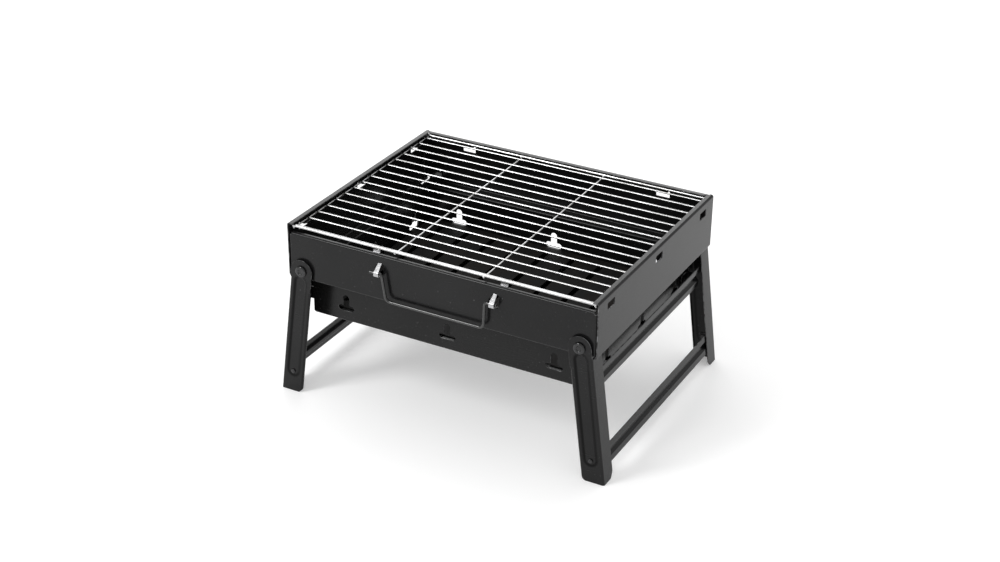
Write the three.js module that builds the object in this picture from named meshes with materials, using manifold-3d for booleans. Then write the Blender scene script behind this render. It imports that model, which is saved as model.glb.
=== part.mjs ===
// Folding tabletop charcoal grill, in millimetres.
// X runs along the front, Y from front to rear and Z up. The feet stand on Z = 0
// and the origin is the centre of the footprint.
import * as THREE from 'three';
import { mergeVertices } from 'three/addons/utils/BufferGeometryUtils.js';
import Module from 'manifold-3d';

const wasm = await Module();
wasm.setup();

// ---------------------------------------------------------------- driving dimensions

const FRAME_WIDTH = 350;
const FRAME_DEPTH = 275;
const FRAME_TOP = 196.5;
const FRAME_BOTTOM = 136.5;
const FRONT_RIM = 186.6;
const FRAME_SHEET = 1.2;
const TOP_FLANGE = 6.5;
const FRONT_FLANGE = 4.5;
const PAN_SEAT_FLANGE = 10;
const FRAME_BEND = 1.8;
const GAP = 0.3;

const PAN_WIDTH = 320;
const PAN_DEPTH = 235;
const PAN_BOTTOM = 88;
const PAN_SHEET = 1;
const PAN_BEND = 1.5;
const PAN_LIP_FRONT = 12.8;
const PAN_LIP_SIDE = 10.8;
const PAN_FLOOR_FLANGE = 9;
const RAIL_FACE = 171.6;
const RAIL_HALF_LENGTH = 119.5;
const RAIL_BOTTOM = 97;
const RAIL_HEIGHT = 21.5;

const PIVOT_X = 157.8;
const PIVOT_Z = 146.5;
const LEG_LEAN = THREE.MathUtils.degToRad(7.5);
const LEG_HALF_WIDTH = 12.4;
const LEG_SHEET = 1;
const LEG_FACE = FRAME_DEPTH / 2 + 3.4;
const OUTER_FLANGE_DEPTH = 20.4;
const INNER_FLANGE_DEPTH = 2.9;
const OUTER_FLANGE_START = 12.2;
const INNER_FLANGE_START = 24;
const CROSSBAR_RIVET = 123;
const CROSSBAR_TOP = 111.4;
const CROSSBAR_HEIGHT = 22.1;

const BAIL_WIRE = 1.5;
const BAIL_Z = 169;
const BAIL_Y = -(FRAME_DEPTH / 2 + 5.3);
const BAIL_DROP = 28.5;
const LUG_X = 65;

const CROSS_WIRE = 1;
const THIN_WIRE = 0.9;
const THICK_WIRE = 1.75;
const GRATE_Z = 190.2;
const THIN_WIRE_COUNT = 15;
const THIN_WIRE_PITCH = 16.8;
const THIN_WIRE_FIRST_Y = -109.3;

// ---------------------------------------------------------------- derived sizes

const HALF_W = FRAME_WIDTH / 2;
const HALF_D = FRAME_DEPTH / 2;
const PAN_HALF_W = PAN_WIDTH / 2;
const PAN_HALF_D = PAN_DEPTH / 2;
const PAN_RIM = FRAME_BOTTOM + FRAME_SHEET + GAP + PAN_SHEET;
const BEND_STEPS = 3;
const ROUND_SIDES = 16;

// ---------------------------------------------------------------- materials

function finish(color, roughness, metalness) {
  return () => new THREE.MeshStandardMaterial({ color, roughness, metalness });
}

const blackPaint = finish(0x2b2b2c, 0.42, 0.25);
const panPaint = finish(0x2a2a2a, 0.5, 0.25);
const chromeWire = finish(0xd8d9da, 0.18, 1.0);
const darkRivet = finish(0x3a3a3c, 0.35, 0.8);
const zincWasher = finish(0x8d9092, 0.4, 0.9);
const charcoalPlate = finish(0x1e1e1f, 0.7, 0.3);

// ---------------------------------------------------------------- solids

function signedVolume(positions, triangles) {
  const a = new THREE.Vector3();
  const b = new THREE.Vector3();
  const c = new THREE.Vector3();
  let sum = 0;
  for (let i = 0; i < triangles.length; i += 3) {
    a.fromArray(positions, triangles[i] * 3);
    b.fromArray(positions, triangles[i + 1] * 3);
    c.fromArray(positions, triangles[i + 2] * 3);
    sum += a.dot(b.cross(c));
  }
  return sum / 6;
}

function flipTriangles(triangles) {
  const flipped = triangles.slice();
  for (let i = 0; i < flipped.length; i += 3) {
    flipped[i + 1] = triangles[i + 2];
    flipped[i + 2] = triangles[i + 1];
  }
  return flipped;
}

// A closed three.js geometry as a solid, with its faces pointing out.
function solidOf(geometry) {
  const bare = geometry.clone();
  bare.deleteAttribute('normal');
  bare.deleteAttribute('uv');
  const merged = mergeVertices(bare, 1e-4);
  const positions = new Float32Array(merged.attributes.position.array);
  let triangles = new Uint32Array(merged.index.array);
  if (signedVolume(positions, triangles) < 0) triangles = flipTriangles(triangles);
  return new wasm.Manifold(new wasm.Mesh({
    numProp: 3,
    vertProperties: positions,
    triVerts: triangles,
  }));
}

function geometryOf(solid) {
  const mesh = solid.getMesh();
  const geometry = new THREE.BufferGeometry();
  geometry.setAttribute('position', new THREE.BufferAttribute(new Float32Array(mesh.vertProperties), 3));
  geometry.setIndex(new THREE.BufferAttribute(new Uint32Array(mesh.triVerts), 1));
  return geometry;
}

function union(solids) {
  return solids.reduce((whole, solid) => whole.add(solid));
}

// The mirror image of a geometry through the plane where one coordinate is 0.
function mirrored(geometry, axis) {
  const image = geometry.clone();
  const sign = new THREE.Vector3(1, 1, 1).setComponent('xyz'.indexOf(axis), -1);
  image.scale(sign.x, sign.y, sign.z);
  image.setIndex(new THREE.BufferAttribute(flipTriangles(new Uint32Array(image.index.array)), 1));
  return image;
}

function block([x0, x1], [y0, y1], [z0, z1]) {
  const geometry = new THREE.BoxGeometry(x1 - x0, y1 - y0, z1 - z0);
  geometry.translate((x0 + x1) / 2, (y0 + y1) / 2, (z0 + z1) / 2);
  return solidOf(geometry);
}

function extrusion(points, length) {
  const shape = new THREE.Shape(points.map(([a, b]) => new THREE.Vector2(a, b)));
  return new THREE.ExtrudeGeometry(shape, { depth: length, bevelEnabled: false, curveSegments: 1 });
}

const X_AXIS = new THREE.Vector3(1, 0, 0);
const Y_AXIS = new THREE.Vector3(0, 1, 0);
const Z_AXIS = new THREE.Vector3(0, 0, 1);

// Prisms along each axis. The outline is [y, z], [x, z] or [x, y].
function prismX(outline, x0, x1) {
  const geometry = extrusion(outline, x1 - x0);
  geometry.applyMatrix4(new THREE.Matrix4().makeBasis(Y_AXIS, Z_AXIS, X_AXIS));
  geometry.translate(x0, 0, 0);
  return solidOf(geometry);
}

function prismY(outline, y0, y1) {
  const geometry = extrusion(outline.map(([x, z]) => [z, x]), y1 - y0);
  geometry.applyMatrix4(new THREE.Matrix4().makeBasis(Z_AXIS, X_AXIS, Y_AXIS));
  geometry.translate(0, y0, 0);
  return solidOf(geometry);
}

function prismZ(outline, z0, z1) {
  const geometry = extrusion(outline, z1 - z0);
  geometry.translate(0, 0, z0);
  return solidOf(geometry);
}

function rod(from, to, radius, sides) {
  const start = new THREE.Vector3(...from);
  const end = new THREE.Vector3(...to);
  const along = end.clone().sub(start);
  const geometry = new THREE.CylinderGeometry(radius, radius, along.length(), sides);
  geometry.applyQuaternion(new THREE.Quaternion().setFromUnitVectors(Y_AXIS, along.clone().normalize()));
  geometry.translate(...start.add(end).multiplyScalar(0.5).toArray());
  return solidOf(geometry);
}

// A capsule outline: a straight slot of the given half width with round ends.
function slotOutline([ax, ay], [bx, by], radius, steps = 6) {
  const heading = Math.atan2(by - ay, bx - ax);
  const points = [];
  for (let i = 0; i <= steps; i += 1) {
    const turn = heading - Math.PI / 2 + (Math.PI * i) / steps;
    points.push([bx + radius * Math.cos(turn), by + radius * Math.sin(turn)]);
  }
  for (let i = 0; i <= steps; i += 1) {
    const turn = heading + Math.PI / 2 + (Math.PI * i) / steps;
    points.push([ax + radius * Math.cos(turn), ay + radius * Math.sin(turn)]);
  }
  return points;
}

// The outline of a folded sheet, from the middle line of its section.
function foldedSheet(path, thickness, bendRadius) {
  const points = path.map(([a, b]) => new THREE.Vector2(a, b));
  const left = (direction) => new THREE.Vector2(-direction.y, direction.x);
  const heading = (i) => points[i + 1].clone().sub(points[i]).normalize();
  const stations = [{ at: points[0], normal: left(heading(0)) }];
  for (let i = 1; i < points.length - 1; i += 1) {
    const before = heading(i - 1);
    const after = heading(i);
    const turn = Math.atan2(before.cross(after), before.dot(after));
    const side = Math.sign(turn);
    const setback = bendRadius * Math.tan(Math.abs(turn) / 2);
    const start = points[i].clone().addScaledVector(before, -setback);
    const centre = start.clone().addScaledVector(left(before), side * bendRadius);
    for (let k = 0; k <= BEND_STEPS; k += 1) {
      const direction = before.clone().rotateAround(new THREE.Vector2(), (turn * k) / BEND_STEPS);
      const normal = left(direction);
      stations.push({ at: centre.clone().addScaledVector(normal, -side * bendRadius), normal });
    }
  }
  const last = points.length - 1;
  stations.push({ at: points[last], normal: left(heading(last - 1)) });
  const outline = (shift) => stations.map(({ at, normal }) => at.clone().addScaledVector(normal, shift).toArray());
  return [...outline(thickness / 2), ...outline(-thickness / 2).reverse()];
}

function part(name, geometry, material) {
  const mesh = new THREE.Mesh(geometry, material());
  mesh.name = name;
  mesh.geometry.computeVertexNormals();
  return mesh;
}

// ---------------------------------------------------------------- frame

const FACE_X = HALF_W - FRAME_SHEET / 2;
const FACE_Y = HALF_D - FRAME_SHEET / 2;
const FLANGE_TOP_Z = FRAME_TOP - FRAME_SHEET / 2;
const FLANGE_BOTTOM_Z = FRAME_BOTTOM + FRAME_SHEET / 2;
const CORNER_X = HALF_W - FRAME_SHEET - GAP - FRAME_SHEET / 2 - 0.2;
const PANEL_END_X = CORNER_X - FRAME_BEND;
const MITRE_BOTTOM = FRAME_TOP - FRAME_BEND - FRAME_SHEET;
const MITRE_GAP = 0.2;

const WINDOW_PITCH = 110.5;
const WINDOW_WIDTH = 15.5;
const WINDOW_HEIGHT = 8;
const WINDOW_TOP = 188.5;
const REST_TAB_WIDTH = 13;
const REST_TAB_REACH = 8;
const REST_TAB_RISE = 0.4;
const REAR_TAB_X = 118;
const FRONT_TAB_X = 72;

// Three lanced windows in each side. The tab folded in from the top edge of each
// one holds up the end wire of the cooking grate.
function sidePanel() {
  const bottomLip = 2.1;
  const section = foldedSheet([
    [HALF_W - TOP_FLANGE, FLANGE_TOP_Z],
    [FACE_X, FLANGE_TOP_Z],
    [FACE_X, FLANGE_BOTTOM_Z],
    [FACE_X - bottomLip, FLANGE_BOTTOM_Z],
  ], FRAME_SHEET, FRAME_BEND);
  let panel = prismY(section, -HALF_D, HALF_D);
  for (const y of [-WINDOW_PITCH, 0, WINDOW_PITCH]) {
    const across = [y - WINDOW_WIDTH / 2, y + WINDOW_WIDTH / 2];
    panel = panel.subtract(block([HALF_W - 3, HALF_W + 1], across, [WINDOW_TOP - WINDOW_HEIGHT, WINDOW_TOP]));
    panel = panel.add(block(
      [HALF_W - REST_TAB_REACH, FACE_X],
      [y - REST_TAB_WIDTH / 2, y + REST_TAB_WIDTH / 2],
      [WINDOW_TOP + REST_TAB_RISE - FRAME_SHEET, WINDOW_TOP + REST_TAB_RISE],
    ));
  }
  const reach = TOP_FLANGE + 3;
  const mitre = prismZ([
    [HALF_W + 1, HALF_D + 1 - MITRE_GAP],
    [HALF_W - reach, HALF_D - reach - MITRE_GAP],
    [HALF_W - reach, HALF_D + 2],
    [HALF_W + 1, HALF_D + 2],
  ], MITRE_BOTTOM, FRAME_TOP + 1);
  return geometryOf(panel.subtract(mitre));
}

// The edge of a front or rear panel, folded back along the inside of a side panel.
function sideReturn(faceY, backY, z0, z1) {
  const outline = foldedSheet([[PANEL_END_X - 4, faceY], [CORNER_X, faceY], [CORNER_X, backY]],
    FRAME_SHEET, FRAME_BEND);
  const right = prismZ(outline, z0, z1);
  return right.add(solidOf(mirrored(geometryOf(right), 'x')));
}

const RETURN_DEPTH = 9;
const RETURN_CLEAR = 3;

// A lanced loop that holds one end of the bail handle's wire.
function bailLug(x) {
  const width = 5.5;
  const sheet = 1;
  const bulge = BAIL_Y - BAIL_WIRE - 0.5 - sheet / 2;
  const section = foldedSheet([
    [-FACE_Y, BAIL_Z + 11.5],
    [-FACE_Y, BAIL_Z + 9],
    [bulge, BAIL_Z + 1.5],
    [bulge, BAIL_Z - 2.2],
    [-FACE_Y, BAIL_Z - 5.5],
    [-FACE_Y, BAIL_Z - 8],
  ], sheet, 1);
  return prismX(section, x - width / 2, x + width / 2);
}

// A short hook on the edge of the front flange, just under the grate's front wire.
function frontHook(x) {
  const halfWidth = 4;
  const edge = -HALF_D + FRONT_FLANGE;
  const section = foldedSheet([
    [edge - 0.6, FRONT_RIM - FRAME_SHEET / 2],
    [edge + 2, FRONT_RIM - FRAME_SHEET / 2],
    [edge + 2, FRONT_RIM + 1.8],
  ], FRAME_SHEET, 0.7);
  return prismX(section, x - halfWidth, x + halfWidth);
}

function frontPanel() {
  const section = foldedSheet([
    [-HALF_D + FRONT_FLANGE, FRONT_RIM - FRAME_SHEET / 2],
    [-FACE_Y, FRONT_RIM - FRAME_SHEET / 2],
    [-FACE_Y, FLANGE_BOTTOM_Z],
    [-HALF_D + PAN_SEAT_FLANGE, FLANGE_BOTTOM_Z],
  ], FRAME_SHEET, FRAME_BEND);
  let panel = prismX(section, -PANEL_END_X, PANEL_END_X);
  panel = panel.add(sideReturn(-FACE_Y, -HALF_D + RETURN_DEPTH, FRAME_BOTTOM + RETURN_CLEAR,
    FRONT_RIM - RETURN_CLEAR));
  const slitWidth = 8;
  for (const x of [-LUG_X, LUG_X]) {
    const slit = block([x - slitWidth / 2, x + slitWidth / 2], [-HALF_D - 1, -HALF_D + 2],
      [BAIL_Z - 4.5, BAIL_Z + 8]);
    panel = panel.subtract(slit).add(bailLug(x));
  }
  for (const x of [-FRONT_TAB_X, FRONT_TAB_X]) {
    panel = panel.add(frontHook(x));
  }
  return geometryOf(drillPivots(panel, -1));
}

// The rear top flange is mitred against the flanges of the side panels, and two
// lanced tabs hold up the rear wire of the cooking grate.
function rearPanel() {
  const section = foldedSheet([
    [HALF_D - TOP_FLANGE, FLANGE_TOP_Z],
    [FACE_Y, FLANGE_TOP_Z],
    [FACE_Y, FLANGE_BOTTOM_Z],
    [HALF_D - PAN_SEAT_FLANGE, FLANGE_BOTTOM_Z],
  ], FRAME_SHEET, FRAME_BEND);
  const flangeEnd = HALF_W - FRAME_SHEET - GAP - 0.2;
  const topStrip = prismX(section, -flangeEnd, flangeEnd)
    .intersect(block([-HALF_W, HALF_W], [0, HALF_D + 1], [MITRE_BOTTOM, FRAME_TOP + 1]));
  const reach = TOP_FLANGE + 3;
  const mitre = prismZ([
    [HALF_W + 1 - MITRE_GAP, HALF_D + 1],
    [HALF_W - reach - MITRE_GAP, HALF_D - reach],
    [HALF_W + 2, HALF_D - reach],
    [HALF_W + 2, HALF_D + 1],
  ], MITRE_BOTTOM - 1, FRAME_TOP + 1);
  let panel = prismX(section, -PANEL_END_X, PANEL_END_X).add(topStrip);
  panel = panel.subtract(mitre).subtract(solidOf(mirrored(geometryOf(mitre), 'x')));
  panel = panel.add(sideReturn(FACE_Y, HALF_D - RETURN_DEPTH, FRAME_BOTTOM + RETURN_CLEAR,
    MITRE_BOTTOM - 1));
  for (const x of [-REAR_TAB_X, REAR_TAB_X]) {
    const across = [x - WINDOW_WIDTH / 2, x + WINDOW_WIDTH / 2];
    panel = panel.subtract(block(across, [HALF_D - 3, HALF_D + 1], [WINDOW_TOP - 7, WINDOW_TOP + 1]));
    panel = panel.add(block(
      [x - REST_TAB_WIDTH / 2, x + REST_TAB_WIDTH / 2],
      [HALF_D - TOP_FLANGE, FACE_Y],
      [WINDOW_TOP + 1.4 - FRAME_SHEET, WINDOW_TOP + 1.4],
    ));
  }
  return geometryOf(drillPivots(panel, 1));
}

const RIVET_SHANK = 3;
const RIVET_HOLE = RIVET_SHANK + 0.4;

function drillPivots(panel, side) {
  let drilled = panel;
  for (const x of [-PIVOT_X, PIVOT_X]) {
    const near = side * (HALF_D - 4);
    const far = side * (HALF_D + 2);
    drilled = drilled.subtract(rod([x, near, PIVOT_Z], [x, far, PIVOT_Z], RIVET_HOLE, ROUND_SIDES));
  }
  return drilled;
}

// ---------------------------------------------------------------- leg pivots

// A solid of revolution about a line along Y. Each profile point is [radius, y].
function turned(profile, x, z, sides = ROUND_SIDES) {
  const geometry = new THREE.LatheGeometry(profile.map(([r, y]) => new THREE.Vector2(r, y)), sides);
  geometry.translate(x, 0, z);
  return geometryOf(solidOf(geometry));
}

// Tubular rivet at the rear right corner: a rolled ring outside, a flat head inside.
function pivotRivet() {
  const inside = HALF_D - FRAME_SHEET - GAP;
  const outside = LEG_FACE + GAP;
  const headRadius = 6.2;
  const headHeight = 2.2;
  const dimpleRadius = 2.4;
  return turned([
    [0, inside - 1],
    [5, inside - 1],
    [5, inside],
    [RIVET_SHANK, inside],
    [RIVET_SHANK, outside],
    [headRadius, outside],
    [headRadius, outside + 0.8],
    [headRadius - 0.7, outside + 1.7],
    [headRadius - 1.8, outside + headHeight],
    [headRadius - 2.8, outside + headHeight - 0.1],
    [dimpleRadius, outside + 1.2],
    [0, outside + 0.9],
  ], PIVOT_X, PIVOT_Z);
}

function pivotSpacer() {
  const near = HALF_D + GAP;
  const far = LEG_FACE - LEG_SHEET - GAP;
  const radius = 6;
  return turned([
    [RIVET_HOLE, near],
    [radius, near],
    [radius, far],
    [RIVET_HOLE, far],
    [RIVET_HOLE, near],
  ], PIVOT_X, PIVOT_Z);
}

// ---------------------------------------------------------------- legs

// Each leg is drawn hanging straight down from a pivot at the origin, with its
// outer edge towards +X and its web facing +Y, and then leaned outwards.
function leanIntoPlace(geometry) {
  geometry.rotateY(-LEG_LEAN);
  geometry.translate(PIVOT_X, 0, PIVOT_Z);
  return geometry;
}

function rearRightLeg() {
  const half = LEG_HALF_WIDTH - LEG_SHEET / 2;
  const webMiddle = LEG_FACE - LEG_SHEET / 2;
  const webInside = LEG_FACE - LEG_SHEET;
  const beyondFloor = -(PIVOT_Z / Math.cos(LEG_LEAN) + 8);
  const channel = prismZ(foldedSheet([
    [-half, LEG_FACE - INNER_FLANGE_DEPTH],
    [-half, webMiddle],
    [half, webMiddle],
    [half, LEG_FACE - OUTER_FLANGE_DEPTH],
  ], LEG_SHEET, 1.6), beyondFloor, -OUTER_FLANGE_START);
  const aboveInnerFlange = block([-LEG_HALF_WIDTH - 1, -half + 2.2], [webInside - 4, LEG_FACE + 1],
    [-INNER_FLANGE_START, 0]);
  const web = [webInside, LEG_FACE];
  let leg = channel.subtract(aboveInnerFlange);
  leg = leg.add(rod([0, webInside, 0], [0, LEG_FACE, 0], LEG_HALF_WIDTH, 36));
  leg = leg.add(block([-LEG_HALF_WIDTH, LEG_HALF_WIDTH], web, [-OUTER_FLANGE_START, 0]));
  leg = leg.add(block([-LEG_HALF_WIDTH, half - 2], web, [-INNER_FLANGE_START, 0]));

  const groove = { radius: 5.9, depth: 1.3, wall: 0.7, top: -7.6, bottom: -117.2 };
  const capsule = (radius, from, to) => prismY(slotOutline(
    [0, groove.top - groove.radius],
    [0, groove.bottom + groove.radius],
    radius,
  ), from, to);
  leg = leg.add(capsule(groove.radius + groove.wall, webInside - groove.depth, webInside + 0.2));
  leg = leg.subtract(capsule(groove.radius, LEG_FACE - groove.depth, LEG_FACE + 1));
  leg = leg.subtract(rod([0, webInside - 3, 0], [0, LEG_FACE + 1, 0], RIVET_HOLE, ROUND_SIDES));
  leg = leg.subtract(rod([0, webInside - 3, -CROSSBAR_RIVET], [0, LEG_FACE + 1, -CROSSBAR_RIVET],
    SMALL_SHANK + GAP, 12));

  let standing = solidOf(leanIntoPlace(geometryOf(leg)));
  const footCentre = PIVOT_X + PIVOT_Z * Math.tan(LEG_LEAN);
  standing = standing.subtract(block([footCentre - 40, footCentre + 40], [0, LEG_FACE + 10], [-30, 0]));
  const innerToe = footCentre - LEG_HALF_WIDTH / Math.cos(LEG_LEAN);
  standing = standing.subtract(prismY([[innerToe - 3, -1], [innerToe + 4, -1], [innerToe - 3, 6]],
    webInside - 5, LEG_FACE + 1));
  const flangeEdge = LEG_FACE - OUTER_FLANGE_DEPTH;
  standing = standing.subtract(prismX([[flangeEdge - 1, -1], [flangeEdge + 6, -1], [flangeEdge - 1, 7]],
    footCentre, footCentre + 30));
  return geometryOf(standing);
}

// A pressed strip with a gutter along its middle. The face is at x = face, and the
// strip hangs down from z = top.
function gutterSection(face, top, height) {
  const sheet = 1;
  const middle = face - sheet / 2;
  const flat = (height - 9) / 2;
  const gutter = 3;
  return foldedSheet([
    [middle, top],
    [middle, top - flat],
    [middle - gutter, top - flat - 2.5],
    [middle - gutter, top - height + flat + 2.5],
    [middle, top - height + flat],
    [middle, top - height],
  ], sheet, 0.9);
}

const SMALL_SHANK = 1.6;
const CROSSBAR_TAB = 1;

// The lower crossbar ties the front leg to the rear leg, just inside their outer
// flanges. A tab folded in at each end is riveted to the leg's web.
function rightCrossbar() {
  const face = LEG_HALF_WIDTH - LEG_SHEET - GAP;
  const tabFace = LEG_FACE - LEG_SHEET - GAP;
  const halfLength = tabFace - 0.6;
  let bar = prismY(gutterSection(face, -CROSSBAR_TOP, CROSSBAR_HEIGHT), -halfLength, halfLength);
  for (const side of [-1, 1]) {
    const ends = [side * tabFace, side * (tabFace - CROSSBAR_TAB)].sort((a, b) => a - b);
    bar = bar.add(block([-4.5, face - 3.6], ends, [-CROSSBAR_RIVET - 4.5, -CROSSBAR_RIVET + 4.5]));
    bar = bar.subtract(rod(
      [0, side * (tabFace - 3), -CROSSBAR_RIVET],
      [0, side * (tabFace + 2), -CROSSBAR_RIVET],
      SMALL_SHANK + GAP,
      12,
    ));
  }
  return leanIntoPlace(geometryOf(bar));
}

// Round-headed rivet through the web and the tab, closed by a thin flat head so
// that the folded leg still passes in front of the frame.
function rearRightCrossbarRivet() {
  const inside = LEG_FACE - LEG_SHEET - GAP - CROSSBAR_TAB - GAP;
  const outside = LEG_FACE + GAP;
  const head = 2.6;
  const geometry = turned([
    [0, inside - 0.5],
    [head, inside - 0.5],
    [head, inside],
    [SMALL_SHANK, inside],
    [SMALL_SHANK, outside],
    [head, outside],
    [head * 0.9, outside + 0.5],
    [head * 0.6, outside + 0.9],
    [0, outside + 1.1],
  ], 0, -CROSSBAR_RIVET, 16);
  return leanIntoPlace(geometry);
}

// ---------------------------------------------------------------- ash pan

const PAN_RIM_MIDDLE = PAN_RIM - PAN_SHEET / 2;
const PAN_FLOOR_MIDDLE = PAN_BOTTOM + PAN_SHEET / 2;
const VENT_Z = 103;
const VENT_BAR_LENGTH = 19.2;
const VENT_BAR_RADIUS = 3.2;
const VENT_STEM_RADIUS = 3.7;
const VENT_STEM_TOP = VENT_Z + 15;
const FRONT_VENT_PITCH = 120;
const SIDE_VENT_PITCH = 82.5;
const GRATE_TAB_TOP = VENT_Z - VENT_BAR_RADIUS;
const GRATE_TAB_REACH = 7;
const GRATE_TAB_HALF_WIDTH = 7;

// Upside-down T vents, cut through a wall along X or Y. A tab folded in at the
// foot of each one carries the charcoal grate.
function ventCutter(prism, centre, from, to) {
  const reach = VENT_BAR_LENGTH / 2 - VENT_BAR_RADIUS;
  const bar = slotOutline([centre - reach, VENT_Z], [centre + reach, VENT_Z], VENT_BAR_RADIUS);
  const stem = slotOutline([centre, VENT_Z], [centre, VENT_STEM_TOP - VENT_STEM_RADIUS],
    VENT_STEM_RADIUS - 0.01);
  const stemFoot = block([-500, 500], [-500, 500], [VENT_Z, VENT_Z + 50]);
  return prism(bar, from, to).add(prism(stem, from, to).intersect(stemFoot));
}

function panRearWall() {
  const face = PAN_HALF_D - PAN_SHEET / 2;
  let wall = prismX(foldedSheet([
    [PAN_HALF_D + PAN_LIP_FRONT, PAN_RIM_MIDDLE],
    [face, PAN_RIM_MIDDLE],
    [face, PAN_FLOOR_MIDDLE],
    [PAN_HALF_D - PAN_FLOOR_FLANGE, PAN_FLOOR_MIDDLE],
  ], PAN_SHEET, PAN_BEND), -PAN_HALF_W, PAN_HALF_W);
  const notchX = PAN_HALF_W - PAN_SHEET - GAP - 0.1;
  for (const side of [-1, 1]) {
    const across = [side * notchX, side * (PAN_HALF_W + 1)].sort((a, b) => a - b);
    wall = wall.subtract(block(across, [0, PAN_HALF_D - PAN_SHEET], [PAN_BOTTOM - 1, PAN_RIM + 1]));
  }
  const tabDepth = [PAN_HALF_D - GRATE_TAB_REACH, PAN_HALF_D - PAN_SHEET / 2];
  const tabHeight = [GRATE_TAB_TOP - PAN_SHEET, GRATE_TAB_TOP];
  for (const x of [-FRONT_VENT_PITCH, 0, FRONT_VENT_PITCH]) {
    wall = wall.subtract(ventCutter(prismY, x, PAN_HALF_D - 6, PAN_HALF_D + 6));
    wall = wall.add(block([x - GRATE_TAB_HALF_WIDTH, x + GRATE_TAB_HALF_WIDTH], tabDepth, tabHeight));
  }
  return geometryOf(wall);
}

function panRightWall() {
  const face = PAN_HALF_W - PAN_SHEET / 2;
  const halfLength = PAN_HALF_D - PAN_SHEET - GAP;
  let wall = prismY(foldedSheet([
    [PAN_HALF_W + PAN_LIP_SIDE, PAN_RIM_MIDDLE],
    [face, PAN_RIM_MIDDLE],
    [face, PAN_FLOOR_MIDDLE],
    [PAN_HALF_W - PAN_FLOOR_FLANGE, PAN_FLOOR_MIDDLE],
  ], PAN_SHEET, PAN_BEND), -halfLength, halfLength);
  const flangeEnd = PAN_HALF_D - PAN_FLOOR_FLANGE - GAP;
  for (const side of [-1, 1]) {
    const along = [side * flangeEnd, side * (PAN_HALF_D + 1)].sort((a, b) => a - b);
    wall = wall.subtract(block([0, PAN_HALF_W - PAN_SHEET], along, [PAN_BOTTOM - 1, PAN_BOTTOM + 3]));
  }
  const tabDepth = [PAN_HALF_W - GRATE_TAB_REACH, PAN_HALF_W - PAN_SHEET / 2];
  const tabHeight = [GRATE_TAB_TOP - PAN_SHEET, GRATE_TAB_TOP];
  for (const y of [-SIDE_VENT_PITCH, 0, SIDE_VENT_PITCH]) {
    wall = wall.subtract(ventCutter(prismX, y, PAN_HALF_W - 6, PAN_HALF_W + 6));
    wall = wall.add(block(tabDepth, [y - GRATE_TAB_HALF_WIDTH, y + GRATE_TAB_HALF_WIDTH], tabHeight));
  }
  for (const y of [-RAIL_RIVET_Y, RAIL_RIVET_Y]) {
    wall = wall.subtract(rod([PAN_HALF_W - 6, y, RAIL_RIVET_Z], [PAN_HALF_W + 6, y, RAIL_RIVET_Z],
      SMALL_SHANK + GAP, 12));
  }
  return geometryOf(wall);
}

function panFloor() {
  const halfWidth = PAN_HALF_W - PAN_SHEET - 0.9;
  const halfDepth = PAN_HALF_D - PAN_SHEET - 0.9;
  const underside = PAN_BOTTOM + PAN_SHEET + GAP;
  return geometryOf(block([-halfWidth, halfWidth], [-halfDepth, halfDepth],
    [underside, underside + PAN_SHEET]));
}

const RAIL_RIVET_Y = 103;
const RAIL_RIVET_Z = RAIL_BOTTOM + RAIL_HEIGHT / 2;
const BRACKET_HALF_HEIGHT = 7;
const BRACKET_SHEET = 1.2;

// A pressed rail stands off each side wall on two riveted brackets.
function rightRail() {
  let rail = prismY(gutterSection(RAIL_FACE, RAIL_BOTTOM + RAIL_HEIGHT, RAIL_HEIGHT),
    -RAIL_HALF_LENGTH, RAIL_HALF_LENGTH);
  const wallSide = PAN_HALF_W + GAP;
  const upright = [RAIL_RIVET_Z - BRACKET_HALF_HEIGHT, RAIL_RIVET_Z + BRACKET_HALF_HEIGHT];
  for (const side of [-1, 1]) {
    const plate = [side * (RAIL_RIVET_Y - 6), side * (RAIL_RIVET_Y + 10)].sort((a, b) => a - b);
    const web = [side * (RAIL_RIVET_Y + 10 - BRACKET_SHEET), side * (RAIL_RIVET_Y + 10)].sort((a, b) => a - b);
    rail = rail.add(block([wallSide, wallSide + BRACKET_SHEET], plate, upright));
    rail = rail.add(block([wallSide, RAIL_FACE - 3], web, upright));
    const y = side * RAIL_RIVET_Y;
    rail = rail.subtract(rod([wallSide - 1, y, RAIL_RIVET_Z], [wallSide + 3, y, RAIL_RIVET_Z],
      SMALL_SHANK + GAP, 12));
  }
  return geometryOf(rail);
}

function rearRightRailRivet() {
  const inside = PAN_HALF_W - PAN_SHEET - GAP;
  const outside = PAN_HALF_W + GAP + BRACKET_SHEET + GAP;
  const head = 2.8;
  const geometry = new THREE.LatheGeometry([
    [0, inside - 0.8],
    [head, inside - 0.8],
    [head, inside],
    [SMALL_SHANK, inside],
    [SMALL_SHANK, outside],
    [head, outside],
    [head * 0.9, outside + 0.6],
    [head * 0.6, outside + 1.1],
    [0, outside + 1.4],
  ].map(([r, y]) => new THREE.Vector2(r, y)), 16);
  geometry.rotateZ(-Math.PI / 2);
  geometry.translate(0, RAIL_RIVET_Y, RAIL_RIVET_Z);
  return geometryOf(solidOf(geometry));
}

// ---------------------------------------------------------------- grates

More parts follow.
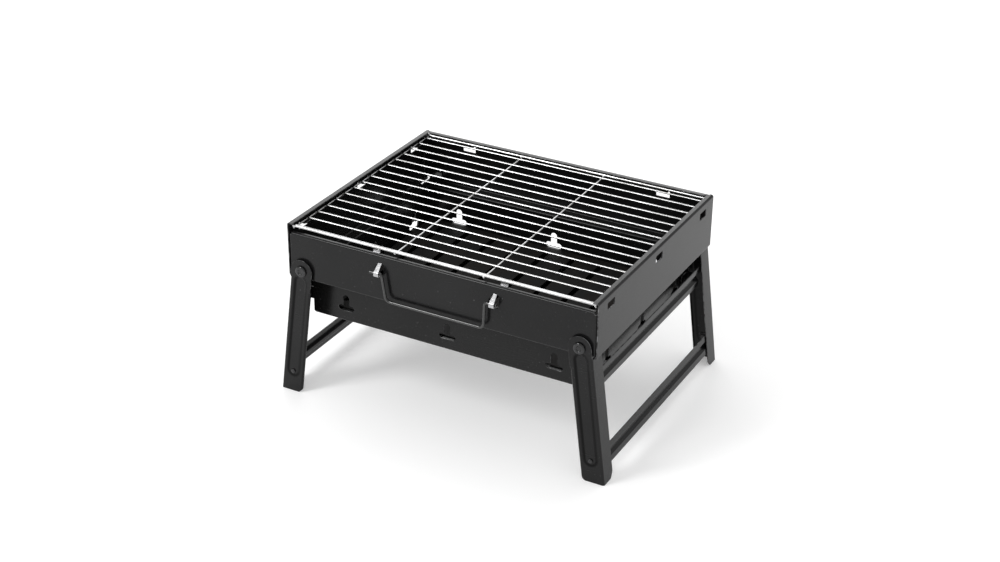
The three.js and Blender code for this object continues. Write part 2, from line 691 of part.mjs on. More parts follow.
// Slotted plate that holds the charcoal above the pan floor, on the walls' tabs.
function charcoalGrate() {
  const halfWidth = 155;
  const halfDepth = 112.5;
  const bottom = GRATE_TAB_TOP + GAP;
  const top = bottom + 1;
  let plate = block([-halfWidth, halfWidth], [-halfDepth, halfDepth], [bottom, top]);
  const slots = { columns: 9, pitchX: 33, rows: 4, pitchY: 54, halfLength: 17, radius: 3 };
  for (let column = 0; column < slots.columns; column += 1) {
    for (let row = 0; row < slots.rows; row += 1) {
      const x = (column - (slots.columns - 1) / 2) * slots.pitchX;
      const y = (row - (slots.rows - 1) / 2) * slots.pitchY;
      const outline = slotOutline([x, y - slots.halfLength], [x, y + slots.halfLength], slots.radius, 4);
      plate = plate.subtract(prismZ(outline, top - 3, top + 1));
    }
  }
  return geometryOf(plate);
}

// Welded wire grate: two thick border wires and the thin wires lie across four
// cross wires. It slides in under the side flanges, over the low front rim.
function cookingGrate() {
  const borderY = 132.8;
  const borderHalf = 171;
  const thinHalf = 172;
  const crossX = [-169.5, -50, 50, 169.5];
  const weld = 0.3;
  const thinZ = GRATE_Z + CROSS_WIRE + THIN_WIRE - weld;
  const thickZ = GRATE_Z + CROSS_WIRE + THICK_WIRE - weld;
  const wires = [];
  for (const y of [-borderY, borderY]) {
    wires.push(rod([-borderHalf, y, thickZ], [borderHalf, y, thickZ], THICK_WIRE, 10));
  }
  for (let i = 0; i < THIN_WIRE_COUNT; i += 1) {
    const y = THIN_WIRE_FIRST_Y + i * THIN_WIRE_PITCH;
    wires.push(rod([-thinHalf, y, thinZ], [thinHalf, y, thinZ], THIN_WIRE, 8));
  }
  for (const x of crossX) {
    wires.push(rod([x, -borderY - 1, GRATE_Z], [x, borderY + 1, GRATE_Z], CROSS_WIRE, 8));
  }
  return geometryOf(union(wires));
}

// ---------------------------------------------------------------- bail handle

// Bent wire: the left arm slants down from its lug, and the right arm steps in
// from its lug and drops almost straight.
function bailHandle() {
  const corner = 5;
  const low = BAIL_Z - BAIL_DROP;
  const at = (x, z) => new THREE.Vector3(x, BAIL_Y, z);
  const turns = [
    at(-LUG_X - 9.2, BAIL_Z),
    at(-LUG_X + 4.8, BAIL_Z),
    at(-55.5, low),
    at(55, low),
    at(56.3, BAIL_Z),
    at(LUG_X + 4.8, BAIL_Z),
  ];
  const radii = [0, 1.8, corner, corner, 2.6, 0];
  const path = new THREE.CurvePath();
  let from = turns[0];
  for (let i = 1; i < turns.length - 1; i += 1) {
    const before = turns[i - 1].clone().sub(turns[i]).setLength(radii[i]).add(turns[i]);
    const after = turns[i + 1].clone().sub(turns[i]).setLength(radii[i]).add(turns[i]);
    path.add(new THREE.LineCurve3(from, before));
    path.add(new THREE.QuadraticBezierCurve3(before, turns[i], after));
    from = after;
  }
  path.add(new THREE.LineCurve3(from, turns[turns.length - 1]));
  const section = new THREE.Shape().absarc(0, 0, BAIL_WIRE, 0, Math.PI * 2, false);
  return geometryOf(solidOf(new THREE.ExtrudeGeometry(section, {
    extrudePath: path,
    steps: 64,
    curveSegments: 4,
    bevelEnabled: false,
  })));
}

// ---------------------------------------------------------------- assembly

const grill = new THREE.Group();

function addFourCorners(name, rearRight, material) {
  const rearLeft = mirrored(rearRight, 'x');
  grill.add(part(`${name}_rear_right`, rearRight, material));
  grill.add(part(`${name}_rear_left`, rearLeft, material));
  grill.add(part(`${name}_front_right`, mirrored(rearRight, 'y'), material));
  grill.add(part(`${name}_front_left`, mirrored(rearLeft, 'y'), material));
}

function addLeftAndRight(name, right, material) {
  grill.add(part(`${name}_right`, right, material));
  grill.add(part(`${name}_left`, mirrored(right, 'x'), material));
}

grill.add(part('frame_front_panel', frontPanel(), blackPaint));
grill.add(part('frame_rear_panel', rearPanel(), blackPaint));
addLeftAndRight('frame_side_panel', sidePanel(), blackPaint);
addFourCorners('pivot_rivet', pivotRivet(), darkRivet);
addFourCorners('pivot_spacer', pivotSpacer(), zincWasher);

addFourCorners('leg', rearRightLeg(), blackPaint);
addLeftAndRight('crossbar', rightCrossbar(), blackPaint);
addFourCorners('crossbar_rivet', rearRightCrossbarRivet(), darkRivet);

const rearWall = panRearWall();
grill.add(part('pan_rear_wall', rearWall, panPaint));
grill.add(part('pan_front_wall', mirrored(rearWall, 'y'), panPaint));
addLeftAndRight('pan_side_wall', panRightWall(), panPaint);
grill.add(part('pan_floor', panFloor(), panPaint));
addLeftAndRight('pan_rail', rightRail(), blackPaint);
addFourCorners('rail_rivet', rearRightRailRivet(), darkRivet);

grill.add(part('charcoal_grate', charcoalGrate(), charcoalPlate));
grill.add(part('cooking_grate', cookingGrate(), chromeWire));
grill.add(part('bail_handle', bailHandle(), blackPaint));

export default grill;
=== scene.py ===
"""Finished look of a folding tabletop charcoal grill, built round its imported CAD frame.

Shapes are worked out in millimetres and turned into metres when a mesh is made.
"""
import math

import bmesh
import bpy
from mathutils import Matrix, Vector
from mathutils.geometry import delaunay_2d_cdt


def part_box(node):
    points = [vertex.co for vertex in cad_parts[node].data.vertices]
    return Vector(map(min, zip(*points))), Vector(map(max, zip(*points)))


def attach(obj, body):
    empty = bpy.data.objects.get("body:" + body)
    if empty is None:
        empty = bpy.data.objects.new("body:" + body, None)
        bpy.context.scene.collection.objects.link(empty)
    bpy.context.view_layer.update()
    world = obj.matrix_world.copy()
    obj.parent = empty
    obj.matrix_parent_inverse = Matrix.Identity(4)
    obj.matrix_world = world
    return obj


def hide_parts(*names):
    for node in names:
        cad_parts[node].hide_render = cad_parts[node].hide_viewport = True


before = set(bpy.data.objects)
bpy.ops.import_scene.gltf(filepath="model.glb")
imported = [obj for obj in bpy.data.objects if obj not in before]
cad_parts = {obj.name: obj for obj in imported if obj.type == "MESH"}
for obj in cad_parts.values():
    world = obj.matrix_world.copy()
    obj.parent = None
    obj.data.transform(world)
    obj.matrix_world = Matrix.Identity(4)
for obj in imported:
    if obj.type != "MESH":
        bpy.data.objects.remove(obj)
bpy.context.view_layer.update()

MM = 0.001
BEND_STEPS = 8
EDGE_RADIUS = 0.22
GAP = 0.3


def box_mm(node):
    low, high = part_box(node)
    return low / MM, high / MM


def middle_mm(node):
    low, high = box_mm(node)
    return (low + high) / 2


# -------- sizes from the frame

FRAME_SHEET = 1.2
PAN_SHEET = 1.0
LEG_SHEET = 1.0
TOP_FLANGE = 6.5
FRONT_FLANGE = 4.5
SEAT_FLANGE = 10.0
FRAME_BEND = 1.8
HOOK_RISE = 1.8

side_low, side_high = box_mm("frame_side_panel_right")
front_high = box_mm("frame_front_panel")[1]
HALF_W = side_high.x
HALF_D = side_high.y
FRAME_BOTTOM = side_low.z
FRAME_TOP = side_high.z
FRONT_RIM = front_high.z - HOOK_RISE
FACE_X = HALF_W - FRAME_SHEET / 2
FACE_Y = HALF_D - FRAME_SHEET / 2
TOP_Z = FRAME_TOP - FRAME_SHEET / 2
FRONT_TOP_Z = FRONT_RIM - FRAME_SHEET / 2
FLANGE_BOTTOM_Z = FRAME_BOTTOM + FRAME_SHEET / 2
CORNER_X = front_high.x - FRAME_SHEET / 2
NOTCH_X = CORNER_X - FRAME_BEND - 0.6

pivot = middle_mm("pivot_rivet_rear_right")
foot_rivet = middle_mm("crossbar_rivet_rear_right")
PIVOT_X = pivot.x
PIVOT_Z = pivot.z
LEG_LEAN = math.atan2(foot_rivet.x - PIVOT_X, PIVOT_Z - foot_rivet.z)
CROSSBAR_RIVET = math.hypot(foot_rivet.x - PIVOT_X, PIVOT_Z - foot_rivet.z)
LEG_FACE = box_mm("leg_rear_right")[1].y
LEG_HALF_WIDTH = 12.4

bail_low, bail_high = box_mm("bail_handle")
BAIL_WIRE = (bail_high.y - bail_low.y) / 2
BAIL_Y = (bail_high.y + bail_low.y) / 2
BAIL_Z = bail_high.z - BAIL_WIRE
BAIL_LOW_Z = bail_low.z + BAIL_WIRE
LUG_X = 65.0

pan_low = box_mm("pan_front_wall")[0]
pan_high = box_mm("pan_rear_wall")[1]
PAN_HALF_W = pan_high.x
PAN_LIP_FRONT = 12.8
PAN_LIP_SIDE = 10.8
PAN_HALF_D = pan_high.y - PAN_LIP_FRONT
PAN_BOTTOM = pan_low.z
PAN_RIM = pan_high.z
PAN_FLOOR_FLANGE = 9.0
PAN_BEND = 1.5
VENT_Z = 103.0
VENT_BAR = 3.2
FRONT_VENTS = (-120.0, 0.0, 120.0)
SIDE_VENTS = (-82.5, 0.0, 82.5)


# -------- shells of mesh

def band(upper, lower):
    """Four-sided faces between two closed rings of point numbers."""
    after = [*range(1, len(upper)), 0]
    return [(upper[i], upper[j], lower[j], lower[i]) for i, j in enumerate(after)]


class Shell:
    """Points, faces and a value at each point for worn edges, painted highlight and painted shade,
    before they become a mesh.
    """

    def __init__(self, points, faces, wear_and_shading=None):
        self.points = [Vector(p) for p in points]
        self.faces = [tuple(f) for f in faces]
        self.wear_and_shading = list(wear_and_shading) if wear_and_shading else [0.0] * len(self.points)

    def changed(self, move):
        return Shell([move(p) for p in self.points], self.faces, self.wear_and_shading)


def mirrored(shells, axes):
    """Shells mirrored in each of the named axes."""
    signs = Vector([-1 if axis in axes else 1 for axis in "xyz"])
    return [shell.changed(lambda p: p * signs) for shell in shells]


def piece(name, shells, material, slot, body, *nodes):
    """One finished piece, which stands for the given CAD nodes and rides on their body."""
    points, faces, wear_and_shading = [], [], []
    for shell in shells:
        start = len(points)
        points += [p * MM for p in shell.points]
        faces += [tuple(start + i for i in f) for f in shell.faces]
        wear_and_shading += shell.wear_and_shading
    mesh = bpy.data.meshes.new(name)
    mesh.from_pydata(points, [], faces)
    # Per-point value: worn edges, and also painted highlight on rims, lugs and hooks and painted shade
    # in the leg grooves.
    mesh.attributes.new("wear_highlight_shade", "FLOAT", "POINT").data.foreach_set("value", wear_and_shading)
    work = bmesh.new()
    work.from_mesh(mesh)
    bmesh.ops.recalc_face_normals(work, faces=work.faces)
    work.to_mesh(mesh)
    work.free()
    mesh.shade_smooth()
    mesh.set_sharp_from_angle(angle=math.radians(50))
    mesh.materials.append(material)
    obj = bpy.data.objects.new(name, mesh)
    bpy.context.scene.collection.objects.link(obj)
    weighted = obj.modifiers.new("even_faces", "WEIGHTED_NORMAL")
    weighted.keep_sharp = True
    weighted.weight = 100
    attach(obj, body)
    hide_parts(*nodes)


# -------- folded sheet

def left_of(direction):
    return Vector((-direction.y, direction.x))


def smooth_step(low, high, value):
    t = min(1.0, max(0.0, (value - low) / (high - low)))
    return t * t * (3 - 2 * t)


class Fold:
    """The section of a folded sheet, followed along the sheet's middle line."""

    def __init__(self, corners, radius, steps=BEND_STEPS):
        points = [Vector(c) for c in corners]
        headings = [(b - a).normalized() for a, b in zip(points, points[1:])]
        self.stations = [(0.0, points[0], left_of(headings[0]))]
        for corner, before, after in zip(points[1:], headings, headings[1:]):
            turn = math.atan2(before.x * after.y - before.y * after.x, before.dot(after))
            side = math.copysign(1, turn)
            start = corner - before * radius * math.tan(abs(turn) / 2)
            centre = start + left_of(before) * side * radius
            for k in range(steps + 1):
                cos, sin = math.cos(turn * k / steps), math.sin(turn * k / steps)
                x, y = before
                normal = left_of(Vector((x * cos - y * sin, x * sin + y * cos)))
                self._add(centre - normal * side * radius, normal)
        self._add(points[-1], left_of(headings[-1]))
        self.length = self.stations[-1][0]

    def _add(self, place, normal):
        u, last, _ = self.stations[-1]
        self.stations.append((u + (place - last).length, place, normal))

    def lines(self):
        return [u for u, _, _ in self.stations[1:-1]]

    def place(self, u, height=0.0):
        """The point at arc length u, raised off the middle line."""
        for (u0, p0, n0), (u1, p1, n1) in zip(self.stations, self.stations[1:]):
            if u <= u1 or u1 == self.length:
                t = (u - u0) / (u1 - u0)
                return p0.lerp(p1, t) + n0.lerp(n1, t) * height

    def where(self, axis, value):
        """The arc length at which the longest straight stretch passes a coordinate."""
        best = None
        for (u0, p0, _), (u1, p1, _) in zip(self.stations, self.stations[1:]):
            low, high = sorted((p0[axis], p1[axis]))
            if low - 1e-6 <= value <= high + 1e-6 and high - low > 0.05:
                if best is None or u1 - u0 > best[1]:
                    t = (value - p0[axis]) / (p1[axis] - p0[axis])
                    best = (u0 + t * (u1 - u0), u1 - u0)
        return best[0]


def turned_left(loop):
    """The loop in the order that keeps its inside on the left."""
    area = sum(a[0] * b[1] - b[0] * a[1] for a, b in zip(loop, loop[1:] + loop[:1]))
    return loop if area > 0 else loop[::-1]


ON_LINE = 0.12
# Face value that turns lugs and hooks wholly to light bare metal, a painted highlight.
HIGHLIGHT_BARE = 30.0
EVERYWHERE = (-1e3, 1e3)


def split_at(loop, columns, rows, span):
    """The loop with a corner wherever it crosses a line; each corner keeps its line.
    A corner close to the line is used as it is. Rows count only inside the span of u."""
    out = []
    count = len(loop)
    for i, here in enumerate(loop):
        before, after = loop[i - 1], loop[(i + 1) % count]
        tag, nearest = None, ON_LINE
        crossings = []
        for axis, lines in enumerate((columns, rows)):
            a, b = here[axis], after[axis]
            for index, line in enumerate(lines):
                off = abs(a - line)
                t = 0.0
                if off < nearest and (before[axis] - line) * (b - line) < 0:
                    if axis == 0 or span[0] < here[0] < span[1]:
                        tag, nearest = (axis, index), off
                elif off > ON_LINE and abs(b - line) > ON_LINE and (a - line) * (b - line) < 0:
                    t = (line - a) / (b - a)
                if t and (axis == 0 or span[0] < here[0] + t * (after[0] - here[0]) < span[1]):
                    crossings.append((t, (axis, index)))
        out.append((Vector(here), tag))
        for t, line_tag in sorted(crossings):
            out.append((Vector(here).lerp(Vector(after), t), line_tag))
    return out


def inward(loop):
    """For each corner, the step that moves both of its sides in by 1."""
    steps = []
    count = len(loop)
    for i in range(count):
        before = (loop[i] - loop[i - 1]).normalized()
        after = (loop[(i + 1) % count] - loop[i]).normalized()
        a, b = left_of(before), left_of(after)
        steps.append((a + b) / max(0.25, 1 + a.dot(b)))
    return steps


def inside(point, loops):
    """Even-odd test against all the loops together."""
    hit = False
    for loop in loops:
        for a, b in zip(loop, loop[1:] + loop[:1]):
            if (a.y > point.y) != (b.y > point.y):
                if point.x < a.x + (point.y - a.y) * (b.x - a.x) / (b.y - a.y):
                    hit = not hit
    return hit


def sheet(place, thickness, outline, holes=(), columns=(), rows=(), rings=(),
          span=EVERYWHERE, painted_shade_at=None, highlight_all=0.0):
    """A sheet with softened edges. Outline and holes are loops in the flat pattern,
    and place(u, v, height) gives the point above the folded sheet's middle.
    The optional function of (u, v) gives the value on the faces, below zero where shade
    is painted in; without it all faces get the one given value, which paints lugs and
    hooks as bare-metal highlights."""
    loops = [split_at(turned_left(list(outline)), columns, rows, span)]
    loops += [split_at(turned_left(list(hole))[::-1], columns, rows, span) for hole in holes]
    edge = min(EDGE_RADIUS, thickness * 0.45)
    half = thickness / 2
    corners, steps, inner = [], [], []
    points, edges, crossing = [], [], {}
    for loop in loops:
        corner = [p for p, _ in loop]
        step = inward(corner)
        start = len(points)
        for i, ((p, tag), s) in enumerate(zip(loop, step)):
            points.append(p + s * edge)
            edges.append((start + i, start + (i + 1) % len(loop)))
            if tag:
                crossing.setdefault(tag, []).append(start + i)
        corners.append(corner)
        steps.append(step)
        inner.append(points[start:])
    for (axis, _), found in crossing.items():
        found.sort(key=lambda i: points[i][1 - axis])
        edges += [(a, b) for a, b in zip(found[::2], found[1::2])]
    for ring in rings:
        start = len(points)
        points += [Vector(p) for p in ring]
        edges += [(start + i, start + (i + 1) % len(ring)) for i in range(len(ring))]
    flat, _, triangles, sources, _, _ = delaunay_2d_cdt(points, edges, [], 0, 1e-4)
    index = {source: i for i, found in enumerate(sources) for source in found}
    kept = []
    for triangle in triangles:
        centre = sum((Vector(flat[i]) for i in triangle), Vector((0, 0))) / len(triangle)
        if inside(centre, inner):
            kept.append(tuple(triangle))

    used = sorted({i for triangle in kept for i in triangle})
    top = {i: n for n, i in enumerate(used)}
    count = len(used)
    out = [place(flat[i][0], flat[i][1], half) for i in used]
    out += [place(flat[i][0], flat[i][1], -half) for i in used]
    faces = [tuple(top[i] for i in triangle) for triangle in kept]
    faces += [tuple(top[i] + count for i in reversed(triangle)) for triangle in kept]
    # Face values carry painted shade in the leg's groove and painted highlight on lugs and hooks.
    wear_and_shading = [painted_shade_at(*flat[i]) if painted_shade_at else highlight_all for i in used] * 2
    soft = edge * (1 - math.sqrt(0.5))
    rim = ((soft, half - soft), (0.0, half - edge), (0.0, edge - half), (soft, soft - half))
    start = 0
    for corner, step in zip(corners, steps):
        size = len(corner)
        first = [top[index[start + i]] for i in range(size)]
        levels = [first]
        for shift, height in rim:
            levels.append(range(len(out), len(out) + size))
            out += [place(*(p + s * shift), height) for p, s in zip(corner, step)]
            # Rims count as worn edges; the lighter metal there is partly wear and partly a painted
            # highlight along the edge.
            wear_and_shading += [1.0] * size
        levels.append([i + count for i in first])
        for upper, lower in zip(levels, levels[1:]):
            faces += band(upper, lower)
        start += size
    return Shell(out, faces, wear_and_shading)


def arc(centre, radius, start, end, steps):
    """Points round an arc, angles in degrees."""
    out = []
    for i in range(steps + 1):
        angle = math.radians(start + (end - start) * i / steps)
        out.append((centre[0] + radius * math.cos(angle), centre[1] + radius * math.sin(angle)))
    return out


def circle(centre, radius, steps=24):
    return arc(centre, radius, 0, 360, steps)[:-1]


def rounded_box(u0, u1, v0, v1, radius=0.8, steps=3):
    left, right = min(u0, u1) + radius, max(u0, u1) - radius
    low, high = min(v0, v1) + radius, max(v0, v1) - radius
    out = []
    for u, v, start in ((right, high, 0), (left, high, 90), (left, low, 180), (right, low, 270)):
        out += arc((u, v), radius, start, start + 90, steps)
    return out


def both_halves(half, centre=0.0):
    """The whole outline from its half on one side of a centre line."""
    return half + [(u, 2 * centre - v) for u, v in reversed(half)]


def along_x(fold):
    """Folded section in Y and Z, with the sheet running along X."""
    def place(u, v, height):
        y, z = fold.place(u, height)
        return Vector((v, y, z))
    return place


def along_y(fold):
    """Folded section in X and Z, with the sheet running along Y."""
    def place(u, v, height):
        x, z = fold.place(u, height)
        return Vector((x, v, z))
    return place


def wall_section(top_reach, face, top, bottom, bottom_reach, bend):
    """Section of a wall with a flange at its top and another at its bottom."""
    return Fold([(top_reach, top), (face, top), (face, bottom), (bottom_reach, bottom)], bend)


def strip(fold, place, thickness, v0, v1, highlight_all=0.0):
    """A plain folded strip with square ends."""
    outline = [(0, v0), (fold.length, v0), (fold.length, v1), (0, v1)]
    return sheet(place, thickness, outline, columns=fold.lines(), highlight_all=highlight_all)


# -------- wires, rivets and beads

def tube(points, radius, sides, dome_steps=3):
    """Round wire through the points, with softly domed ends."""
    route = [Vector(p) for p in points]
    following, leading = route[1:] + route[-1:], route[:1] + route[:-1]
    tangents = [(b - a).normalized() for a, b in zip(leading, following)]
    rings = [(place, tangent, radius) for place, tangent in zip(route, tangents)]
    for k in range(1, dome_steps + 1):
        angle = math.pi / 2 * k / (dome_steps + 0.4)
        out, r = radius * 0.5 * math.sin(angle), radius * math.cos(angle)
        rings.insert(0, (route[0] - tangents[0] * out, tangents[0], r))
        rings.append((route[-1] + tangents[-1] * out, tangents[-1], r))
    normal = tangents[0].orthogonal().normalized()
    vertices = []
    for place, tangent, r in rings:
        normal = (normal - tangent * normal.dot(tangent)).normalized()
        across = tangent.cross(normal)
        for k in range(sides):
            angle = 2 * math.pi * k / sides
            vertices.append(place + (normal * math.cos(angle) + across * math.sin(angle)) * r)
    loops = [range(i * sides, (i + 1) * sides) for i in range(len(rings))]
    faces = [loops[0][::-1], loops[-1]]
    for a, b in zip(loops, loops[1:]):
        faces += band(a, b)
    return Shell(vertices, faces)


def turned(profile, sides, wear_and_shading=()):
    """A solid of revolution about Z from (radius, z) points. It closes on itself, or
    it starts and ends on the axis."""
    vertices, rings, worn = [], [], []
    for i, (radius, z) in enumerate(profile):
        start = len(vertices)
        count = 1 if radius < 1e-9 else sides
        for k in range(count):
            angle = 2 * math.pi * k / sides
            vertices.append(Vector((radius * math.cos(angle), radius * math.sin(angle), z)))
        worn += [1.0 if i in wear_and_shading else 0.0] * count
        rings.append([start + k % count for k in range(sides)])
    if rings[0][0] != rings[0][1]:
        rings.append(rings[0])
    faces = []
    for a, b in zip(rings, rings[1:]):
        faces += [dict.fromkeys(face) for face in band(a, b)]
    return Shell(vertices, faces, worn)


def bead(centre, radii, sides=12, rings=7):
    """A small rounded blob of weld metal."""
    tilts = [math.pi * i / rings for i in range(rings + 1)]
    ball = turned([(math.sin(tilt), math.cos(tilt)) for tilt in tilts], sides)
    return ball.changed(lambda p: Vector([c + r * q for c, r, q in zip(centre, radii, p)]))


def facing_y(shell, x, z):
    """Turns a shell's Z axis to +Y and moves it to the given X and Z."""
    return shell.changed(lambda p: Vector((p.x + x, p.z, -p.y + z)))


def facing_x(shell, y, z):
    """Turns a shell's Z axis to +X and moves it to the given Y and Z."""
    return shell.changed(lambda p: Vector((p.z, p.y + y, -p.x + z)))


def rounded_profile(points, radius, steps):
    """Profile points with the marked corners rounded. Each point is (r, z, round it)."""
    out = []
    for i, (r, z, soft) in enumerate(points):
        here = Vector((r, z))
        if not soft:
            out.append(here)
            continue
        before = Vector(points[i - 1][:2])
        after = Vector(points[(i + 1) % len(points)][:2])
        reach = min(radius, (before - here).length / 2.1, (after - here).length / 2.1)
        a = here + (before - here).normalized() * reach
        b = here + (after - here).normalized() * reach
        for k in range(steps + 1):
            t = k / steps
            out.append(a.lerp(here, t).lerp(here.lerp(b, t), t))
    return [tuple(p) for p in out]


def above(profile, level):
    """The numbers of the profile's points that stand above a level."""
    return [i for i, (_, z) in enumerate(profile) if z > level]


# -------- materials

class Nodes:
    """Small helper for building a node material."""

    def __init__(self, name):
        self.material = bpy.data.materials.new(name)
        self.material.use_nodes = True
        self.tree = self.material.node_tree
        self.tree.nodes.clear()
        self.shader = self.add("ShaderNodeBsdfPrincipled")
        output = self.add("ShaderNodeOutputMaterial")
        self.give(output.inputs[0], self.shader.outputs[0])
        self.where = self.add("ShaderNodeTexCoord").outputs["Object"]

    def add(self, kind, **settings):
        node = self.tree.nodes.new(kind)
        for key, value in settings.items():
            setattr(node, key, value)
        return node

    def give(self, socket, value):
        """Links a value's socket to an input, or sets a number, a vector or a colour."""
        if isinstance(value, bpy.types.NodeSocket):
            self.tree.links.new(value, socket)
        elif socket.type == "RGBA":
            socket.default_value = (*value, 1.0)
        else:
            socket.default_value = value

    def fill(self, node, **values):
        """Fills a node's inputs by name, with _ for a space."""
        for key, value in values.items():
            self.give(node.inputs[key.replace("_", " ")], value)

    def set(self, **values):
        self.fill(self.shader, **values)

    def noise(self, scale, detail=3.0, roughness=0.5, stretch=(1, 1, 1), distortion=0.0):
        """Noise with a scale in waves per metre."""
        mapping = self.add("ShaderNodeMapping")
        self.fill(mapping, Vector=self.where, Scale=stretch)
        node = self.add("ShaderNodeTexNoise")
        self.fill(node, Vector=mapping.outputs[0], Scale=scale, Detail=detail)
        self.fill(node, Roughness=roughness, Distortion=distortion)
        return node.outputs["Fac"]

    def ramp(self, value, low, high, start=0.0, end=1.0):
        node = self.add("ShaderNodeMapRange", interpolation_type="SMOOTHSTEP")
        self.fill(node, Value=value, From_Min=low, From_Max=high, To_Min=start, To_Max=end)
        return node.outputs[0]

    def math(self, operation, a, b):
        node = self.add("ShaderNodeMath", operation=operation, use_clamp=True)
        self.give(node.inputs[0], a)
        self.give(node.inputs[1], b)
        return node.outputs[0]

    def blend(self, factor, a, b):
        """A colour between a and b, each a colour or a socket."""
        node = self.add("ShaderNodeMix", data_type="RGBA")
        self.give(node.inputs["Factor"], factor)
        self.give(node.inputs[6], a)
        self.give(node.inputs[7], b)
        return node.outputs[2]

    # Point value for worn edges, painted highlights and painted shade.
    def wear_highlight_shade(self):
        return self.add("ShaderNodeAttribute", attribute_name="wear_highlight_shade").outputs["Fac"]

    def bump(self, *layers):
        """Stacked bumps, each (height socket, distance in millimetres, strength)."""
        normal = None
        for height, distance, strength in layers:
            node = self.add("ShaderNodeBump")
            self.fill(node, Height=height, Distance=distance * MM, Strength=strength)
            if normal:
                self.fill(node, Normal=normal)
            normal = node.outputs[0]
        self.set(Normal=normal)


# Light bare metal: rubbed edges and specks, and also the painted highlight on lugs, hooks and rims.
RUBBED_METAL_AND_SHEEN = (0.42, 0.42, 0.425)
# Near black painted into the leg's groove as shade.
SHADE_BLACK = (0.001, 0.001, 0.001)


def paint(name, dark, light, rough_low, rough_high, ior=1.3):
    """Sprayed heat-resistant paint: a fine orange peel, slow drifts in gloss, faint
    rubbed streaks and bare, lighter metal along the cut edges, which also serves as
    painted highlight there and over the lugs and hooks. Where the point value is below
    zero, shade is painted in: near black, with little reflection."""
    n = Nodes(name)
    drift = n.noise(9, detail=4, roughness=0.55)
    grain = n.noise(900, detail=2)
    streaks = n.noise(60, detail=5, roughness=0.7, stretch=(1, 1, 7), distortion=0.4)
    speck = n.noise(420, detail=3, roughness=0.7)
    wear_and_shading = n.wear_highlight_shade()
    rubbed = n.noise(160, detail=4, roughness=0.7)
    # Rubbed metal where the point value is high; on lugs, hooks and rims it is also a painted
    # highlight.
    rub = n.math("MULTIPLY", wear_and_shading, n.ramp(rubbed, 0.42, 0.66, 0.03, 0.4))
    # Painted shade: below zero the colour goes to near black and the reflection level drops.
    painted_shade = n.ramp(wear_and_shading, -1.0, 0.0, 1.0, 0.0)
    body = n.blend(n.ramp(drift, 0.3, 0.7), dark, light)
    dusty = n.blend(n.ramp(speck, 0.66, 0.74, 0.0, 0.15), body, RUBBED_METAL_AND_SHEEN)
    n.set(
        Base_Color=n.blend(rub, n.blend(painted_shade, dusty, SHADE_BLACK), RUBBED_METAL_AND_SHEEN),
        Roughness=n.math(
            "ADD",
            n.ramp(drift, 0.25, 0.75, rough_low, rough_high),
            n.ramp(streaks, 0.45, 0.8, 0.0, 0.06),
        ),
        Metallic=n.math("MULTIPLY", rub, 0.6),
        Specular_IOR_Level=n.ramp(wear_and_shading, -1.0, 0.0, 0.08, 0.5),
        IOR=ior,
    )
    n.bump((drift, 0.5, 0.25), (grain, 0.05, 0.5))
    return n.material


def plated_wire(name):
    """Bright plated wire with drawn lines, faint tarnish and a soft ripple."""
    n = Nodes(name)
    tarnish = n.noise(35, detail=4, roughness=0.6)
    drawn = n.noise(500, detail=3, stretch=(0.15, 6, 6))
    n.set(
        Base_Color=n.blend(n.ramp(tarnish, 0.35, 0.75), (0.6, 0.605, 0.61), (0.42, 0.415, 0.405)),
        Roughness=n.math("ADD", n.ramp(tarnish, 0.3, 0.8, 0.14, 0.3), n.ramp(drawn, 0.4, 0.8, 0, 0.08)),
        Metallic=1.0,
    )
    n.bump((drawn, 0.03, 0.4))
    return n.material


def blackened_steel(name):
    """Blackened rivet steel, rubbed bright where it stands proud."""
    n = Nodes(name)
    patch = n.noise(260, detail=4, roughness=0.65)
    rub = n.math("MULTIPLY", n.wear_highlight_shade(), n.ramp(patch, 0.3, 0.6))
    n.set(
        Base_Color=n.blend(rub, (0.005, 0.005, 0.0052), (0.05, 0.05, 0.052)),
        Roughness=n.ramp(patch, 0.3, 0.7, 0.05, 0.12),
        Metallic=n.math("MULTIPLY", rub, 0.8),
    )
    n.bump((patch, 0.03, 0.2))
    return n.material


def zinc_plate(name):
    """Dull zinc with a fine turned grain."""
    n = Nodes(name)
    patch = n.noise(300, detail=4, roughness=0.6)
    n.set(
        Base_Color=n.blend(n.ramp(patch, 0.35, 0.7), (0.42, 0.43, 0.44), (0.3, 0.31, 0.33)),
        Roughness=n.ramp(patch, 0.3, 0.7, 0.32, 0.5),
        Metallic=1.0,
    )
    n.bump((patch, 0.05, 0.4))
    return n.material


def stained_plate(name):
    """Matt black plate with brownish heat stains and a dusting of pale ash."""
    n = Nodes(name)
    stain = n.noise(22, detail=6, roughness=0.65, distortion=0.8)
    ash = n.noise(140, detail=5, roughness=0.75)
    body = n.blend(n.ramp(stain, 0.4, 0.75), (0.006, 0.006, 0.006), (0.014, 0.011, 0.009))
    n.set(
        Base_Color=n.blend(n.ramp(ash, 0.6, 0.8, 0.0, 0.4), body, (0.05, 0.049, 0.047)),
        Roughness=n.ramp(stain, 0.3, 0.7, 0.6, 0.82),
        Specular_IOR_Level=0.18,
    )
    n.bump((stain, 0.3, 0.3), (ash, 0.08, 0.5))
    return n.material


def floor_paper(name):
    """Plain pale studio floor with the faintest tooth."""
    n = Nodes(name)
    tooth = n.noise(700, detail=2)
    n.set(
        Base_Color=n.blend(tooth, (0.78, 0.78, 0.78), (0.8, 0.8, 0.8)),
        Roughness=0.75,
        Emission_Color=(1.0, 1.0, 1.0),
        Emission_Strength=0.3,
        Specular_IOR_Level=0.2,
    )
    return n.material


